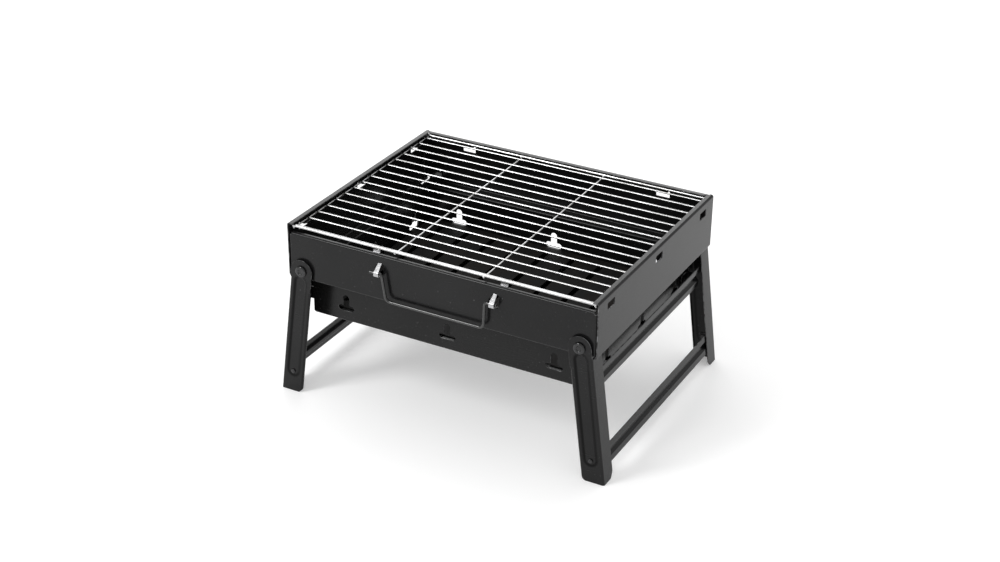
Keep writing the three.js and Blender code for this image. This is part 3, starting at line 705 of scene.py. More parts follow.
black_paint = paint("black_paint", (0.0055, 0.0055, 0.0057), (0.009, 0.009, 0.0092), 0.17, 0.26)
pan_paint = paint("pan_paint", (0.005, 0.005, 0.005), (0.008, 0.008, 0.008), 0.19, 0.28)
bail_paint = paint("bail_paint", (0.006, 0.006, 0.006), (0.01, 0.01, 0.01), 0.12, 0.2, 1.65)
wire_metal = plated_wire("wire")
rivet_metal = blackened_steel("rivet")
washer_metal = zinc_plate("washer")
plate_metal = stained_plate("charcoal_plate")


# -------- frame panels

WINDOW_PITCH = 110.5
WINDOW_WIDTH = 15.5
WINDOW_HEIGHT = 8.0
WINDOW_TOP = 188.5
REAR_WINDOW_TOP = WINDOW_TOP + 1.0
REST_TAB_WIDTH = 13.0
REST_TAB_RISE = 0.4
REST_TAB_ROOT = 3.2
REST_TAB_REACH = 8.0
REST_TAB_CHAMFER = 1.2
REAR_TAB_X = 118.0
TAB_SLIMMING = 0.96
MITRE_GAP = 0.4
SIDE_SEAT = 2.1
RETURN_DEPTH = 9.0
RETURN_DROP = 6.0
FRONT_RETURN_DROP = 3.0
RETURN_LIFT = 3.0
PIVOT_HOLE = 3.4


def window(fold, top, centre):
    return rounded_box(
        fold.where(1, top),
        fold.where(1, top - WINDOW_HEIGHT),
        centre - WINDOW_WIDTH / 2,
        centre + WINDOW_WIDTH / 2,
    )


def rest_tab(wall, reach, window_top, centre, place_of):
    """A tab folded inwards at a window's top edge, with a soft bend at its root."""
    middle = window_top + REST_TAB_RISE - FRAME_SHEET / 2
    fold = Fold([(reach, middle), (wall, middle), (wall, middle + REST_TAB_ROOT)], 1.0, 5)
    edge = centre - REST_TAB_WIDTH / 2
    outline = both_halves([
        (0.0, edge + REST_TAB_CHAMFER),
        (REST_TAB_CHAMFER, edge),
        (fold.length, edge),
    ], centre)
    return sheet(place_of(fold), FRAME_SHEET * TAB_SLIMMING, outline, columns=fold.lines())


def side_panel():
    """Right side: full-height wall, top flange mitred at the rear, three windows."""
    fold = wall_section(
        HALF_W - TOP_FLANGE, FACE_X, TOP_Z, FLANGE_BOTTOM_Z, FACE_X - SIDE_SEAT, FRAME_BEND,
    )
    mitre = NOTCH_X + MITRE_GAP - HALF_W + TOP_FLANGE
    corner = HALF_D - FRAME_BEND - MITRE_GAP
    outline = [
        (0.0, -HALF_D),
        (fold.length, -HALF_D),
        (fold.length, HALF_D),
        (mitre, HALF_D),
        (mitre, corner),
        (0.0, corner - mitre),
    ]
    holes, shells = [], []
    for y in (-WINDOW_PITCH, 0.0, WINDOW_PITCH):
        holes.append(window(fold, WINDOW_TOP, y))
        shells.append(rest_tab(FACE_X, HALF_W - REST_TAB_REACH, WINDOW_TOP, y, along_y))
    shells.append(sheet(along_y(fold), FRAME_SHEET, outline, holes, columns=fold.lines()))
    return shells


def boxed(section, plan):
    """A wall folded two ways: its flanges by the section, its end returns by the plan."""
    wall_low = section.stations[1 + BEND_STEPS][0] - 1e-6
    wall_high = section.stations[2 + BEND_STEPS][0] + 1e-6
    half = plan.length / 2

    def place(u, v, height):
        y, z = section.place(u, height)
        if wall_low <= u <= wall_high:
            x, y = plan.place(v + half, height)
            return Vector((x, y, z))
        return Vector((v, y, z))

    return place


def end_wall(section, side, mitre, return_top, holes, span=EVERYWHERE):
    """An end wall with a return at each end, from the right half of its flat pattern.
    side is -1 at the front and 1 at the rear."""
    back = side * (HALF_D - RETURN_DEPTH)
    wall = side * FACE_Y
    plan = Fold([(-CORNER_X, back), (-CORNER_X, wall), (CORNER_X, wall), (CORNER_X, back)], FRAME_BEND)
    half = plan.length / 2
    upper = section.where(1, return_top)
    bottom = section.where(1, FRAME_BOTTOM + RETURN_LIFT)
    outline = both_halves(mitre + [
        (upper, NOTCH_X),
        (upper, half),
        (bottom, half),
        (bottom, NOTCH_X),
        (section.length, NOTCH_X),
    ])
    for x in (-PIVOT_X, PIVOT_X):
        holes.append(circle((section.where(1, PIVOT_Z), x), PIVOT_HOLE))
    rows = [v - half for v in plan.lines()]
    return sheet(
        boxed(section, plan), FRAME_SHEET, outline, holes,
        columns=section.lines(), rows=rows, span=span,
    )


LUG_SHEET = 1.0
LUG_GAP = 0.5
LUG_HALF_WIDTHS = (1.9, 2.9)
LUG_TAPER = 0.55
LUG_FLAT = ((11.0, 9.0), (-5.5, -7.5))
LUG_BULGE = (1.5, -2.2)
LUG_WINDOW = (8.0, -4.5)
LUG_WINDOW_HALF = 4.2
HOOK_X = 72.0
HOOK_HALF_WIDTH = 4.0
HOOK_OVERLAP = 0.6
HOOK_REACH = 2.0


def lug(x):
    """A lanced strap that bulges out over the bail wire, wider at its foot."""
    bulge = BAIL_Y - BAIL_WIRE - LUG_GAP - LUG_SHEET / 2
    upper, lower = [[(-FACE_Y, BAIL_Z + rise) for rise in flat] for flat in LUG_FLAT]
    fold = Fold(upper + [(bulge, BAIL_Z + rise) for rise in LUG_BULGE] + lower, 1.2, 5)
    narrow, wide = LUG_HALF_WIDTHS
    outline = both_halves([
        (0.0, x - narrow),
        (fold.length * LUG_TAPER, x - wide),
        (fold.length, x - wide),
    ], x)
    # The whole strap is painted light bare metal as a highlight.
    return sheet(along_x(fold), LUG_SHEET, outline, columns=fold.lines(), highlight_all=HIGHLIGHT_BARE)


def front_hook(x):
    """A small upturned tab on the front rim, which holds the cooking grate."""
    edge = -HALF_D + FRONT_FLANGE
    tip = edge + HOOK_REACH
    route = [(edge - HOOK_OVERLAP, FRONT_TOP_Z), (tip, FRONT_TOP_Z), (tip, FRONT_RIM + HOOK_RISE)]
    fold = Fold(route, 0.9, 5)
    low, high = x - HOOK_HALF_WIDTH, x + HOOK_HALF_WIDTH
    # The whole hook is painted light bare metal as a highlight.
    return strip(fold, along_x(fold), FRAME_SHEET * TAB_SLIMMING, low, high, HIGHLIGHT_BARE)


def front_panel():
    """Lower wall than the other three, with two lugs for the bail and two hooks."""
    top_reach, seat_reach = -HALF_D + FRONT_FLANGE, -HALF_D + SEAT_FLANGE
    section = wall_section(
        top_reach, -FACE_Y, FRONT_TOP_Z, FLANGE_BOTTOM_Z, seat_reach, FRAME_BEND,
    )
    holes, shells = [], []
    for x in (-LUG_X, LUG_X):
        top, bottom = [section.where(1, BAIL_Z + rise) for rise in LUG_WINDOW]
        holes.append(rounded_box(top, bottom, x - LUG_WINDOW_HALF, x + LUG_WINDOW_HALF, 1.2))
        shells.append(lug(x))
        shells.append(front_hook(math.copysign(HOOK_X, x)))
    shells.append(end_wall(section, -1, [(0.0, NOTCH_X)], FRONT_RIM - FRONT_RETURN_DROP, holes))
    return shells


def rear_panel():
    """Full-height rear wall. Its top flange is mitred against the side flanges."""
    section = wall_section(
        HALF_D - TOP_FLANGE, FACE_Y, TOP_Z, FLANGE_BOTTOM_Z, HALF_D - SEAT_FLANGE, FRAME_BEND,
    )
    mitre = [
        (0.0, NOTCH_X - TOP_FLANGE + FRAME_BEND),
        (TOP_FLANGE - FRAME_BEND, NOTCH_X),
    ]
    holes, shells = [], []
    for x in (-REAR_TAB_X, REAR_TAB_X):
        holes.append(window(section, REAR_WINDOW_TOP, x))
        shells.append(rest_tab(FACE_Y, HALF_D - TOP_FLANGE, REAR_WINDOW_TOP, x, along_x))
    # The returns' bend lines cross the wall, and stop short of the mitred top flange.
    span = (section.where(1, FRAME_TOP - 4), section.where(1, FRAME_BOTTOM + 2))
    shells.append(end_wall(section, 1, mitre, FRAME_TOP - RETURN_DROP, holes, span))
    return shells


# -------- pivots

SPACER_RADIUS = 6.0
SHANK_RADIUS = 3.0
INNER_HEAD_RADIUS = 5.0
OUTER_HEAD_RADIUS = 6.2


def pivot_rivet():
    """Tubular rivet at the rear right corner, its outer end rolled over into a ring."""
    inside_y = HALF_D - FRAME_SHEET - GAP
    outside_y = LEG_FACE + GAP
    profile = rounded_profile([
        (0, inside_y - 1, False),
        (INNER_HEAD_RADIUS, inside_y - 1, True),
        (INNER_HEAD_RADIUS, inside_y, True),
        (SHANK_RADIUS, inside_y, False),
        (SHANK_RADIUS, outside_y, False),
        (OUTER_HEAD_RADIUS, outside_y, True),
        (OUTER_HEAD_RADIUS, outside_y + 1.3, True),
        (4.9, outside_y + 2.2, True),
        (3.1, outside_y + 2.2, True),
        (2.3, outside_y + 1.1, True),
        (0, outside_y + 0.9, False),
    ], 0.9, 5)
    worn = above(profile, max(z for _, z in profile) - 0.5)
    return [facing_y(turned(profile, 48, worn), PIVOT_X, PIVOT_Z)]


def pivot_spacer():
    near = HALF_D + GAP
    far = LEG_FACE - LEG_SHEET - GAP
    corners = ((PIVOT_HOLE, near), (SPACER_RADIUS, near), (SPACER_RADIUS, far), (PIVOT_HOLE, far))
    profile = rounded_profile([(*corner, True) for corner in corners], 0.3, 3)
    return [facing_y(turned(profile, 40), PIVOT_X, PIVOT_Z)]


# -------- legs

OUTER_FLANGE_DEPTH = 20.4
INNER_FLANGE_DEPTH = 2.9
OUTER_FLANGE_START = 12.2
INNER_FLANGE_START = 24.0
GROOVE_TOP = 13.5
GROOVE_BOTTOM = 121.7
GROOVE_DEPTH = 1.1
GROOVE_END_DEPTH = 0.25
FOOT_CLEARANCE = 0.05
CROSSBAR_TOP = 111.4
CROSSBAR_HEIGHT = 22.1
SMALL_HOLE = 1.9

# Where the leg's two flanges fade in: distances before the flange's full start.
FLANGE_EASE = (3.2, 2.6, 1.9, 1.2, 0.6, 0.2)

# The groove's side slopes and the shade painted on them, at distances from its middle line.
GROOVE_SLOPE = (4.5, 7.7)
GROOVE_SHADE = -0.6
GROOVE_SHADE_RISE = (4.2, 5.9)
GROOVE_SHADE_FALL = (6.9, 9.8)
GROOVE_RINGS = (4.2, 4.9, 5.5, 5.9, 6.2, 6.5, 6.9, 7.7, 8.7, 9.8)

# Corners of the leg's flat pattern. The first number runs across from the middle line, or
# back from the flange's free edge, and the second is a height over the floor or the start
# of the flange.
TOE = ((-11.55, 2.9), (-9.4, 0.5), (-8.6, 0.0), (10.0, 0.0))
FLANGE_TOE = ((6.0, 0.0), (4.2, 0.9), (0.6, 5.4), (0.0, 7.0))
OUTER_SHOULDER = ((13.6, 0.0), (12.6, 0.9), (LEG_HALF_WIDTH, 2.4))
INNER_SHOULDER = ((-LEG_HALF_WIDTH, 2.4), (-12.9, 0.9), (-14.0, 0.0))


def leaned(shell):
    """A shell drawn hanging from the pivot, with Z downwards negative, leaned outwards."""
    turn = Matrix.Rotation(-LEG_LEAN, 3, "Y")
    return shell.changed(lambda p: turn @ p + Vector((PIVOT_X, 0, PIVOT_Z)))


def rear_right_leg():
    half = LEG_HALF_WIDTH - LEG_SHEET / 2
    web = LEG_FACE - LEG_SHEET / 2
    fold = Fold([
        (-half, LEG_FACE - INNER_FLANGE_DEPTH),
        (-half, web),
        (half, web),
        (half, LEG_FACE - OUTER_FLANGE_DEPTH),
    ], 1.6)
    centre = fold.where(0, 0.0)

    def foot(x):
        return (PIVOT_Z + x * math.sin(LEG_LEAN)) / math.cos(LEG_LEAN) - FOOT_CLEARANCE

    def groove_distance(u, v):
        run = min(max(v, GROOVE_TOP), GROOVE_BOTTOM) - v
        return math.hypot(u - centre, run)

    def place(u, v, height):
        across = u - centre
        shallow = smooth_step(GROOVE_BOTTOM - 12, GROOVE_BOTTOM - 6, v)
        depth = GROOVE_DEPTH + (GROOVE_END_DEPTH - GROOVE_DEPTH) * shallow
        height -= depth * (1 - smooth_step(*GROOVE_SLOPE, groove_distance(u, v)))
        start = OUTER_FLANGE_START if across > 0 else INNER_FLANGE_START
        bent = fold.place(u, height)
        flat = Vector((across, web + height))
        x, y = flat.lerp(bent, smooth_step(start - FLANGE_EASE[0], start - FLANGE_EASE[-1], v))
        return Vector((x, y, -v))

    # Painted shade along the groove's side slopes, between its rise and its fall.
    def painted_shade_at(u, v):
        distance = groove_distance(u, v)
        return GROOVE_SHADE * smooth_step(*GROOVE_SHADE_RISE, distance) * (1 - smooth_step(*GROOVE_SHADE_FALL, distance))

    length = fold.length
    outline = [(0.0, INNER_FLANGE_START), (0.0, foot(-half) - 5.0)]
    outline += [(centre + x, foot(x) - rise) for x, rise in TOE]
    outline += [(centre + 13.0, foot(half))]
    outline += [(length - back, foot(half) - rise) for back, rise in FLANGE_TOE]
    outline += [(length, OUTER_FLANGE_START + 2), (length - 2, OUTER_FLANGE_START)]
    outline += [(centre + x, OUTER_FLANGE_START - rise) for x, rise in OUTER_SHOULDER]
    outline += arc((centre, 0.0), LEG_HALF_WIDTH, 0, -180, 32)
    outline += [(centre + x, INNER_FLANGE_START - rise) for x, rise in INNER_SHOULDER]
    rows = []
    for start in (OUTER_FLANGE_START, INNER_FLANGE_START):
        rows += [start - back for back in FLANGE_EASE]
    rings = []
    for distance in GROOVE_RINGS:
        ring = arc((centre, GROOVE_TOP), distance, -180, 0, 14)
        ring += arc((centre, GROOVE_BOTTOM), distance, 0, 180, 14)
        rings.append(ring)
    holes = [circle((centre, 0.0), PIVOT_HOLE, 28)]
    holes += [circle((centre, CROSSBAR_RIVET), SMALL_HOLE, 16)]
    return [leaned(sheet(
        place, LEG_SHEET, outline, holes, columns=fold.lines(), rows=rows, rings=rings,
        painted_shade_at=painted_shade_at,
    ))]


RAIL_SHEET = 1.0
GUTTER_WIDTH = 9.0
GUTTER_DEPTH = 3.0
GUTTER_SLOPE = 2.5
BAR_TAB_HALF = 4.5
BAR_TAB_SETBACK = 3.2
BAR_END_GAP = 0.6


def gutter(face, top, height):
    """Section of a pressed rail, with a gutter along its middle."""
    centre = face - RAIL_SHEET / 2
    bed = centre - GUTTER_DEPTH
    flat = (height - GUTTER_WIDTH) / 2
    return Fold([
        (centre, top),
        (centre, top - flat),
        (bed, top - flat - GUTTER_SLOPE),
        (bed, top - height + flat + GUTTER_SLOPE),
        (centre, top - height + flat),
        (centre, top - height),
    ], 0.9, 6)


def right_crossbar():
    """Lower crossbar between a front and a rear leg, with a riveted tab at each end."""
    face = LEG_HALF_WIDTH - LEG_SHEET - GAP
    tab_face = LEG_FACE - LEG_SHEET - GAP
    end = tab_face - BAR_END_GAP
    fold = gutter(face, -CROSSBAR_TOP, CROSSBAR_HEIGHT)
    shells = [strip(fold, along_y(fold), RAIL_SHEET, -end, end)]
    low, high = -CROSSBAR_RIVET - BAR_TAB_HALF, -CROSSBAR_RIVET + BAR_TAB_HALF
    outline = rounded_box(-BAR_TAB_HALF, face - BAR_TAB_SETBACK, low, high, 1.8, 5)
    hole = circle((0.0, -CROSSBAR_RIVET), SMALL_HOLE, 20)
    for side in (-1, 1):
        middle = side * (tab_face - RAIL_SHEET / 2)
        shells.append(sheet(
            lambda u, v, height, y=middle: Vector((u, y + height, v)), RAIL_SHEET, outline, [hole],
        ))
    return [leaned(s) for s in shells]


def domed_rivet(inside_a, outside_a, shank, head, rise):
    """Round-headed rivet along Z, closed by a thin flat head at its inner end."""
    return rounded_profile([
        (0, inside_a - 0.5, False),
        (head, inside_a - 0.5, True),
        (head, inside_a, True),
        (shank, inside_a, False),
        (shank, outside_a, False),
        (head, outside_a, True),
        (head * 0.86, outside_a + rise * 0.62, True),
        (head * 0.45, outside_a + rise * 0.96, True),
        (0, outside_a + rise, False),
    ], 0.5, 4)


def crossbar_rivet():
    outside_y = LEG_FACE + GAP
    profile = domed_rivet(outside_y - 2 - 3 * GAP, outside_y, 1.6, 2.6, 1.1)
    worn = above(profile, outside_y + 0.9)
    return [leaned(facing_y(turned(profile, 28, worn), 0, -CROSSBAR_RIVET))]


# -------- ash pan

PAN_RIM_MIDDLE = PAN_RIM - PAN_SHEET / 2
PAN_FLOOR_MIDDLE = PAN_BOTTOM + PAN_SHEET / 2
RAIL_FACE = box_mm("pan_rail_right")[1].x
RAIL_TOP = box_mm("pan_rail_right")[1].z
RAIL_HEIGHT = RAIL_TOP - box_mm("pan_rail_right")[0].z
RAIL_HALF_LENGTH = box_mm("pan_rail_right")[1].y
RAIL_RIVET_Y = 103.0
RAIL_RIVET_Z = RAIL_TOP - RAIL_HEIGHT / 2
BRACKET_SHEET = 1.2
VENT_HALF_WIDTH = 9.6
VENT_STEM = 3.7
VENT_TOP = 15.0
GRATE_TAB_REACH = 6.2
GRATE_TAB_HALF = 6.8
PAN_CORNER = 2.0
FLOOR_NOTCH_Z = PAN_BOTTOM + 2.4
PANEL_MARGIN = 16.0
PANEL_CORNER = 8.0
PANEL_RISE = 0.36


def vent(fold, centre):
    """Upside-down T vent: a round-ended bar with a round-topped stem on it."""
    end = VENT_HALF_WIDTH - VENT_BAR
    points = arc((end, 0.0), VENT_BAR, -90, 90, 8)
    points += [(VENT_STEM, VENT_BAR)]
    points += arc((0.0, VENT_TOP - VENT_STEM), VENT_STEM, 0, 180, 12)
    points += [(-VENT_STEM, VENT_BAR)]
    points += arc((-end, 0.0), VENT_BAR, 90, 270, 8)
    return [(fold.where(1, VENT_Z + z), centre + across) for across, z in points]


def grate_tab(wall_face, place_of, centre):
    """The tab folded in at a vent's foot, which carries the charcoal grate."""
    level = VENT_Z - VENT_BAR - PAN_SHEET / 2
    tip = wall_face - GRATE_TAB_REACH
    fold = Fold([(tip, level), (wall_face, level), (wall_face, level - 3)], 0.8, 5)
    low, high = centre - GRATE_TAB_HALF, centre + GRATE_TAB_HALF
    return strip(fold, place_of(fold), PAN_SHEET * TAB_SLIMMING, low, high)


def pan_section(half, lip):
    """Section of a pan wall: its lip turns outwards and its floor flange inwards."""
    face = half - PAN_SHEET / 2
    flange = half - PAN_FLOOR_FLANGE
    return wall_section(half + lip, face, PAN_RIM_MIDDLE, PAN_FLOOR_MIDDLE, flange, PAN_BEND)


def vented(fold, place_of, half, vents, outline, holes=()):
    """A pan wall with its vents, and a tab for the charcoal grate at each one's foot."""
    holes = [vent(fold, centre) for centre in vents] + list(holes)
    tabs = [grate_tab(half - PAN_SHEET / 2, place_of, centre) for centre in vents]
    return [sheet(place_of(fold), PAN_SHEET, outline, holes, columns=fold.lines())] + tabs


def pan_rear_wall():
    fold = pan_section(PAN_HALF_D, PAN_LIP_FRONT)
    floor_start = fold.where(1, FLOOR_NOTCH_Z)
    notch = PAN_HALF_W - PAN_SHEET - GAP - 0.1
    outline = both_halves([
        (0.0, -PAN_HALF_W + PAN_CORNER),
        (PAN_CORNER, -PAN_HALF_W),
        (floor_start, -PAN_HALF_W),
        (floor_start + 1.4, -notch),
        (fold.length, -notch + 6),
    ])
    return vented(fold, along_x, PAN_HALF_D, FRONT_VENTS, outline)


def pan_right_wall():
    end = PAN_HALF_D - PAN_SHEET - GAP
    fold = pan_section(PAN_HALF_W, PAN_LIP_SIDE)
    floor_start = fold.where(1, FLOOR_NOTCH_Z)
    flange_end = PAN_HALF_D - PAN_FLOOR_FLANGE - GAP
    outline = both_halves([
        (0.0, end),
        (floor_start, end),
        (floor_start + 1.0, flange_end),
        (fold.length, flange_end - 1),
    ])
    rivet_u = fold.where(1, RAIL_RIVET_Z)
    holes = [circle((rivet_u, y), SMALL_HOLE, 16) for y in (-RAIL_RIVET_Y, RAIL_RIVET_Y)]
    return vented(fold, along_y, PAN_HALF_W, SIDE_VENTS, outline, holes)


def pan_floor():
    """Floor plate with a panel pressed very slightly upwards."""
    low, high = box_mm("pan_floor")
    level = (low.z + high.z) / 2
    outline = rounded_box(low.x, high.x, low.y, high.y, 3, 5)
    half_x, half_y = high.x - PANEL_MARGIN, high.y - PANEL_MARGIN
    rings = []
    for step in (0.0, 1.0, 2.0):
        x, y = half_x - step, half_y - step
        rings.append(rounded_box(-x, x, -y, y, PANEL_CORNER - step, 6))

    def place(u, v, height):
        over_x = max(0, abs(u) - half_x + PANEL_CORNER)
        over_y = max(0, abs(v) - half_y + PANEL_CORNER)
        distance = math.hypot(over_x, over_y)
        rise = PANEL_RISE * (1 - smooth_step(PANEL_CORNER - 2, PANEL_CORNER, distance))
        return Vector((u, v, level + height + rise))

    return [sheet(place, high.z - low.z, outline, rings=rings)]


def pan_rail():
    """Pressed rail on two brackets that are riveted to the pan's side wall."""
    fold = gutter(RAIL_FACE, RAIL_TOP, RAIL_HEIGHT)
    shells = [strip(fold, along_y(fold), RAIL_SHEET, -RAIL_HALF_LENGTH, RAIL_HALF_LENGTH)]
    wall = PAN_HALF_W + GAP + BRACKET_SHEET / 2
    for side in (-1, 1):
        web_y = side * (RAIL_RIVET_Y + 10 - BRACKET_SHEET / 2)
        bracket = Fold([
            (wall, side * (RAIL_RIVET_Y - 6)),
            (wall, web_y),
            (RAIL_FACE - 3.2, web_y),
        ], 1.2, 6)
        outline = rounded_box(0, bracket.length, RAIL_RIVET_Z - 7, RAIL_RIVET_Z + 7, 1.4, 4)
        hole = circle((6.0, RAIL_RIVET_Z), SMALL_HOLE, 16)
        shells.append(sheet(
            lambda u, v, height, b=bracket: Vector((*b.place(u, height), v)),
            BRACKET_SHEET, outline, [hole], columns=bracket.lines(),
        ))
    return shells


def rail_rivet():
    outside_x = PAN_HALF_W + GAP + BRACKET_SHEET + GAP
    profile = domed_rivet(PAN_HALF_W - PAN_SHEET - GAP, outside_x, 1.6, 2.8, 1.4)
    worn = above(profile, outside_x + 0.4)
    return [facing_x(turned(profile, 28, worn), RAIL_RIVET_Y, RAIL_RIVET_Z)]


# -------- grates and bail

SLOT_COLUMNS = 9
SLOT_ROWS = 4
SLOT_PITCH = (33, 54)
SLOT_HALF = 17
SLOT_RADIUS = 3


def charcoal_grate():
    low, high = box_mm("charcoal_grate")
    level = (low.z + high.z) / 2
    holes = []
    for i in range(SLOT_COLUMNS):
        for j in range(SLOT_ROWS):
            x = (i - (SLOT_COLUMNS - 1) / 2) * SLOT_PITCH[0]
            y = (j - (SLOT_ROWS - 1) / 2) * SLOT_PITCH[1]
            hole = arc((x, y + SLOT_HALF), SLOT_RADIUS, 0, 180, 8)
            hole += arc((x, y - SLOT_HALF), SLOT_RADIUS, 180, 360, 8)
            holes.append(hole)
    outline = rounded_box(low.x, high.x, low.y, high.y, 4, 6)
    return [sheet(
        lambda u, v, height: Vector((u, v, level + height)), high.z - low.z, outline, holes,
    )]


CROSS_WIRE = 1.0
THIN_WIRE = 0.9
THICK_WIRE = 1.75
CROSS_WIRES_X = (-169.5, -50.0, 50.0, 169.5)
THIN_WIRE_COUNT = 15
THIN_WIRE_PITCH = 16.8
THIN_WIRE_FIRST_Y = -109.3
THIN_WIRE_STRAY = 0.12
THICK_WIRE_Y = 132.8
THICK_WIRE_HALF = 170.1
WELD_SINK = 0.3
THICK_WELD = (1.7, 1.9, 1.0)
THIN_WELD = (1.25, 1.25, 0.8)
WIRE_STEPS = 24


def straight_wire(start, end, radius, sides, stray=0.0, phase=0.0):
    """A wire that strays a little from straight, as cut and welded wire does."""
    a, b = Vector(start), Vector(end)
    points = []
    for i in range(WIRE_STEPS + 1):
        t = i / WIRE_STEPS
        rise = stray * math.sin(math.pi * t) * math.sin(5 * t + phase)
        points.append(a.lerp(b, t) + Vector((0, 0, rise)))
    return tube(points, radius, sides)


def wire_across(y, z, half, radius, sides, *wander):
    return straight_wire((-half, y, z), (half, y, z), radius, sides, *wander)


def cooking_grate():
    """Thin wires and two thick ones across, welded on top of four wires from front to back."""
    low, high = box_mm("cooking_grate")
    cross_z = low.z + CROSS_WIRE
    thin_z = cross_z + CROSS_WIRE + THIN_WIRE - WELD_SINK
    thick_z = cross_z + CROSS_WIRE + THICK_WIRE - WELD_SINK
    shells = []
    for y in (-THICK_WIRE_Y, THICK_WIRE_Y):
        shells.append(wire_across(y, thick_z, THICK_WIRE_HALF, THICK_WIRE, 20))
        shells += [bead((x, y, cross_z + 1.0), THICK_WELD) for x in CROSS_WIRES_X]
    for i in range(THIN_WIRE_COUNT):
        y = THIN_WIRE_FIRST_Y + i * THIN_WIRE_PITCH
        wander = THIN_WIRE_STRAY, i * 1.7
        shells.append(wire_across(y, thin_z, high.x - 0.3, THIN_WIRE, 14, *wander))
        shells += [bead((x, y, cross_z + 0.85), THIN_WELD) for x in CROSS_WIRES_X]
    end = THICK_WIRE_Y + 0.5
    for x in CROSS_WIRES_X:
        shells.append(straight_wire((x, -end, cross_z), (x, end, cross_z), CROSS_WIRE, 14))
    return shells


def bend_through(corners, radii, steps=9):
    """A route through the corners with each one rounded."""
    points = [Vector(corners[0])]
    for i in range(1, len(corners) - 1):
        here = Vector(corners[i])
        back = (Vector(corners[i - 1]) - here).normalized()
        on = (Vector(corners[i + 1]) - here).normalized()
        a, b = here + back * radii[i], here + on * radii[i]
        centre = here + (back + on) * radii[i]
        for k in range(steps + 1):
            angle = math.pi / 2 * k / steps
            points.append(centre + (a - centre) * math.cos(angle) + (b - centre) * math.sin(angle))
    points.append(Vector(corners[-1]))
    return points


BAIL_DOME = 0.8
BAIL_SLANT_X = -LUG_X + 4.8
BAIL_LOWER_X = (-55.5, 55.0)
BAIL_STEP_X = 56.3
BAIL_BENDS = (0, 1.8, 5, 5, 2.6, 0)


def bail_handle():
    """Bent wire: the left arm slants in from its lug, the right one steps in and drops."""
    route = [
        (bail_low.x + BAIL_DOME, BAIL_Z),
        (BAIL_SLANT_X, BAIL_Z),
        (BAIL_LOWER_X[0], BAIL_LOW_Z),
        (BAIL_LOWER_X[1], BAIL_LOW_Z),
        (BAIL_STEP_X, BAIL_Z),
        (bail_high.x - BAIL_DOME, BAIL_Z),
    ]
    corners = [(x, BAIL_Y, z) for x, z in route]
    return [tube(bend_through(corners, BAIL_BENDS), BAIL_WIRE, 20)]


# -------- assembly

CORNERS = (("rear_right", ""), ("rear_left", "x"), ("front_right", "y"), ("front_left", "xy"))
SIDES = (("right", ""), ("left", "x"))


def copies(places, *kinds):
    """Mirrored copies of pieces. Without a body of its own, a copy rides on its side's legs."""
    for place, axes in places:
        legs = "right_legs" if place.endswith("right") else "left_legs"
        for name, shells, material, slot, body, node in kinds:
            piece(f"{name}_{place}", mirrored(shells, axes), material, slot, body or legs,
                  f"{node}_{place}")


def add_frame():
    look = black_paint, "black_paint", "frame"
    piece("front_panel", front_panel(), *look, "frame_front_panel")
    piece("rear_panel", rear_panel(), *look, "frame_rear_panel")
    copies(SIDES, ("side_panel", side_panel(), *look, "frame_side_panel"))
    copies(
        CORNERS,
        ("leg_pivot_rivet", pivot_rivet(), rivet_metal, "rivet", "frame", "pivot_rivet"),
        ("leg_spacer", pivot_spacer(), washer_metal, "washer", "frame", "pivot_spacer"),
    )


def add_legs():
    look = black_paint, "black_paint", None
    copies(
        CORNERS,
        ("pressed_leg", rear_right_leg(), *look, "leg"),
        ("foot_rivet", crossbar_rivet(), rivet_metal, "rivet", None, "crossbar_rivet"),
    )
    copies(SIDES, ("foot_crossbar", right_crossbar(), *look, "crossbar"))


def add_pan():
    look = pan_paint, "pan_paint", "ash_pan"
    end = pan_rear_wall()
    piece("pan_rear_sheet", end, *look, "pan_rear_wall")
    piece("pan_front_sheet", mirrored(end, "y"), *look, "pan_front_wall")
    piece("pan_base", pan_floor(), *look, "pan_floor")
    copies(
        SIDES,
        ("pan_side_sheet", pan_right_wall(), *look, "pan_side_wall"),
        ("side_rail", pan_rail(), black_paint, "black_paint", "ash_pan", "pan_rail"),
    )
    rivet = "bracket_rivet", rail_rivet(), rivet_metal, "rivet", "ash_pan", "rail_rivet"
    copies(CORNERS, rivet)


def add_grates():
    piece("coal_plate", charcoal_grate(), plate_metal, "charcoal_plate", "charcoal_grate",
          "charcoal_grate")
    piece("wire_grate", cooking_grate(), wire_metal, "wire", "cooking_grate", "cooking_grate")
    piece("bail_wire", bail_handle(), bail_paint, "black_paint", "bail_handle", "bail_handle")


# -------- studio

CAMERA_PLACE = Vector((0.7868, -1.4674, 0.9943))
CAMERA_AZIMUTH = math.radians(28.32)
CAMERA_ELEVATION = math.radians(27.92)
CAMERA_ROLL = math.radians(0.61)
CAMERA_LENS = 64.6


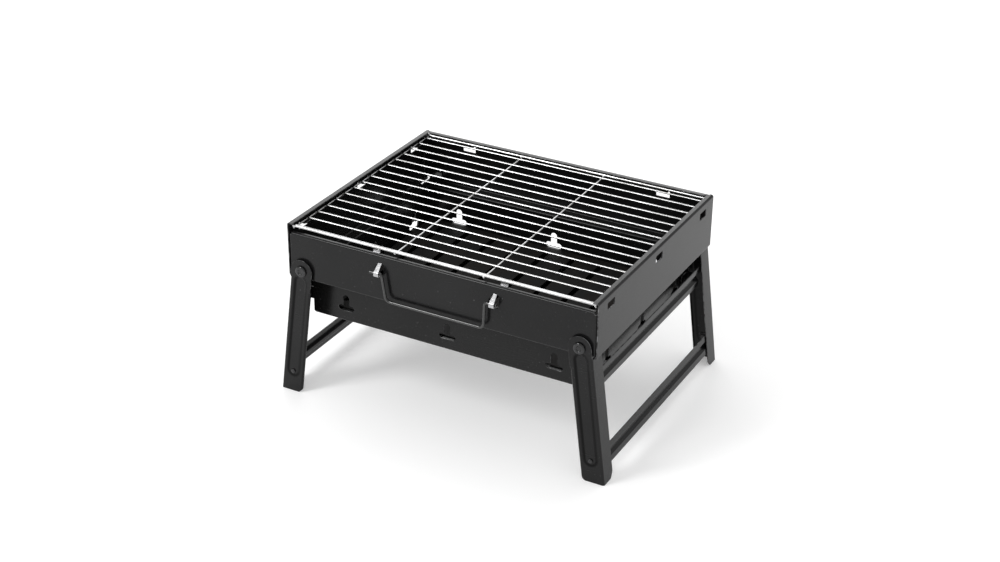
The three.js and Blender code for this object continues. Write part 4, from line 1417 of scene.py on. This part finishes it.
def add_camera():
    """Azimuth turns from -Y towards +X."""
    data = bpy.data.cameras.new("camera")
    data.sensor_width = 36
    data.lens = CAMERA_LENS
    data.clip_start = 0.05
    turn = Matrix.Rotation(CAMERA_AZIMUTH, 4, "Z")
    tilt = Matrix.Rotation(math.pi / 2 - CAMERA_ELEVATION, 4, "X")
    roll = Matrix.Rotation(CAMERA_ROLL, 4, "Z")
    camera = bpy.data.objects.new("camera", data)
    camera.matrix_world = Matrix.Translation(CAMERA_PLACE) @ turn @ tilt @ roll
    bpy.context.scene.collection.objects.link(camera)
    bpy.context.scene.camera = camera


def softbox(name, place, target, size, power):
    data = bpy.data.lights.new(name, "AREA")
    data.shape = "RECTANGLE"
    data.size, data.size_y = size
    data.energy = power
    light = bpy.data.objects.new(name, data)
    light.location = place
    aim = Vector(target) - Vector(place)
    light.rotation_euler = aim.to_track_quat("-Z", "Y").to_euler()
    bpy.context.scene.collection.objects.link(light)


def add_studio():
    mesh = bpy.data.meshes.new("floor")
    size = 6.0
    mesh.from_pydata([(-size, -size, 0), (size, -size, 0), (size, size, 0), (-size, size, 0)], [],
                     [(0, 1, 2, 3)])
    mesh.materials.append(floor_paper("floor"))
    floor = bpy.data.objects.new("floor", mesh)
    bpy.context.scene.collection.objects.link(floor)
    world = bpy.data.worlds.new("studio")
    world.use_nodes = True
    background = world.node_tree.nodes["Background"]
    background.inputs["Color"].default_value = (1, 1, 1, 1)
    background.inputs["Strength"].default_value = 0.75
    bpy.context.scene.world = world
    softbox("top", (-0.3, 0.9, 1.9), (0, 0, 0.1), (1.6, 1.2), 8)
    softbox("right", (1.8, 0.3, 1.2), (0, 0, 0.1), (1.2, 1.2), 2)
    softbox("back", (-0.95, 1.75, 1.05), (0, 0, 0.15), (1.3, 0.8), 7)
    softbox("front", (-1.0, -1.5, 1.55), (0, -0.1, 0.15), (0.6, 1.1), 22)
    bpy.context.scene.view_settings.view_transform = "Standard"


add_camera()
add_studio()
add_frame()
add_legs()
add_pan()
add_grates()
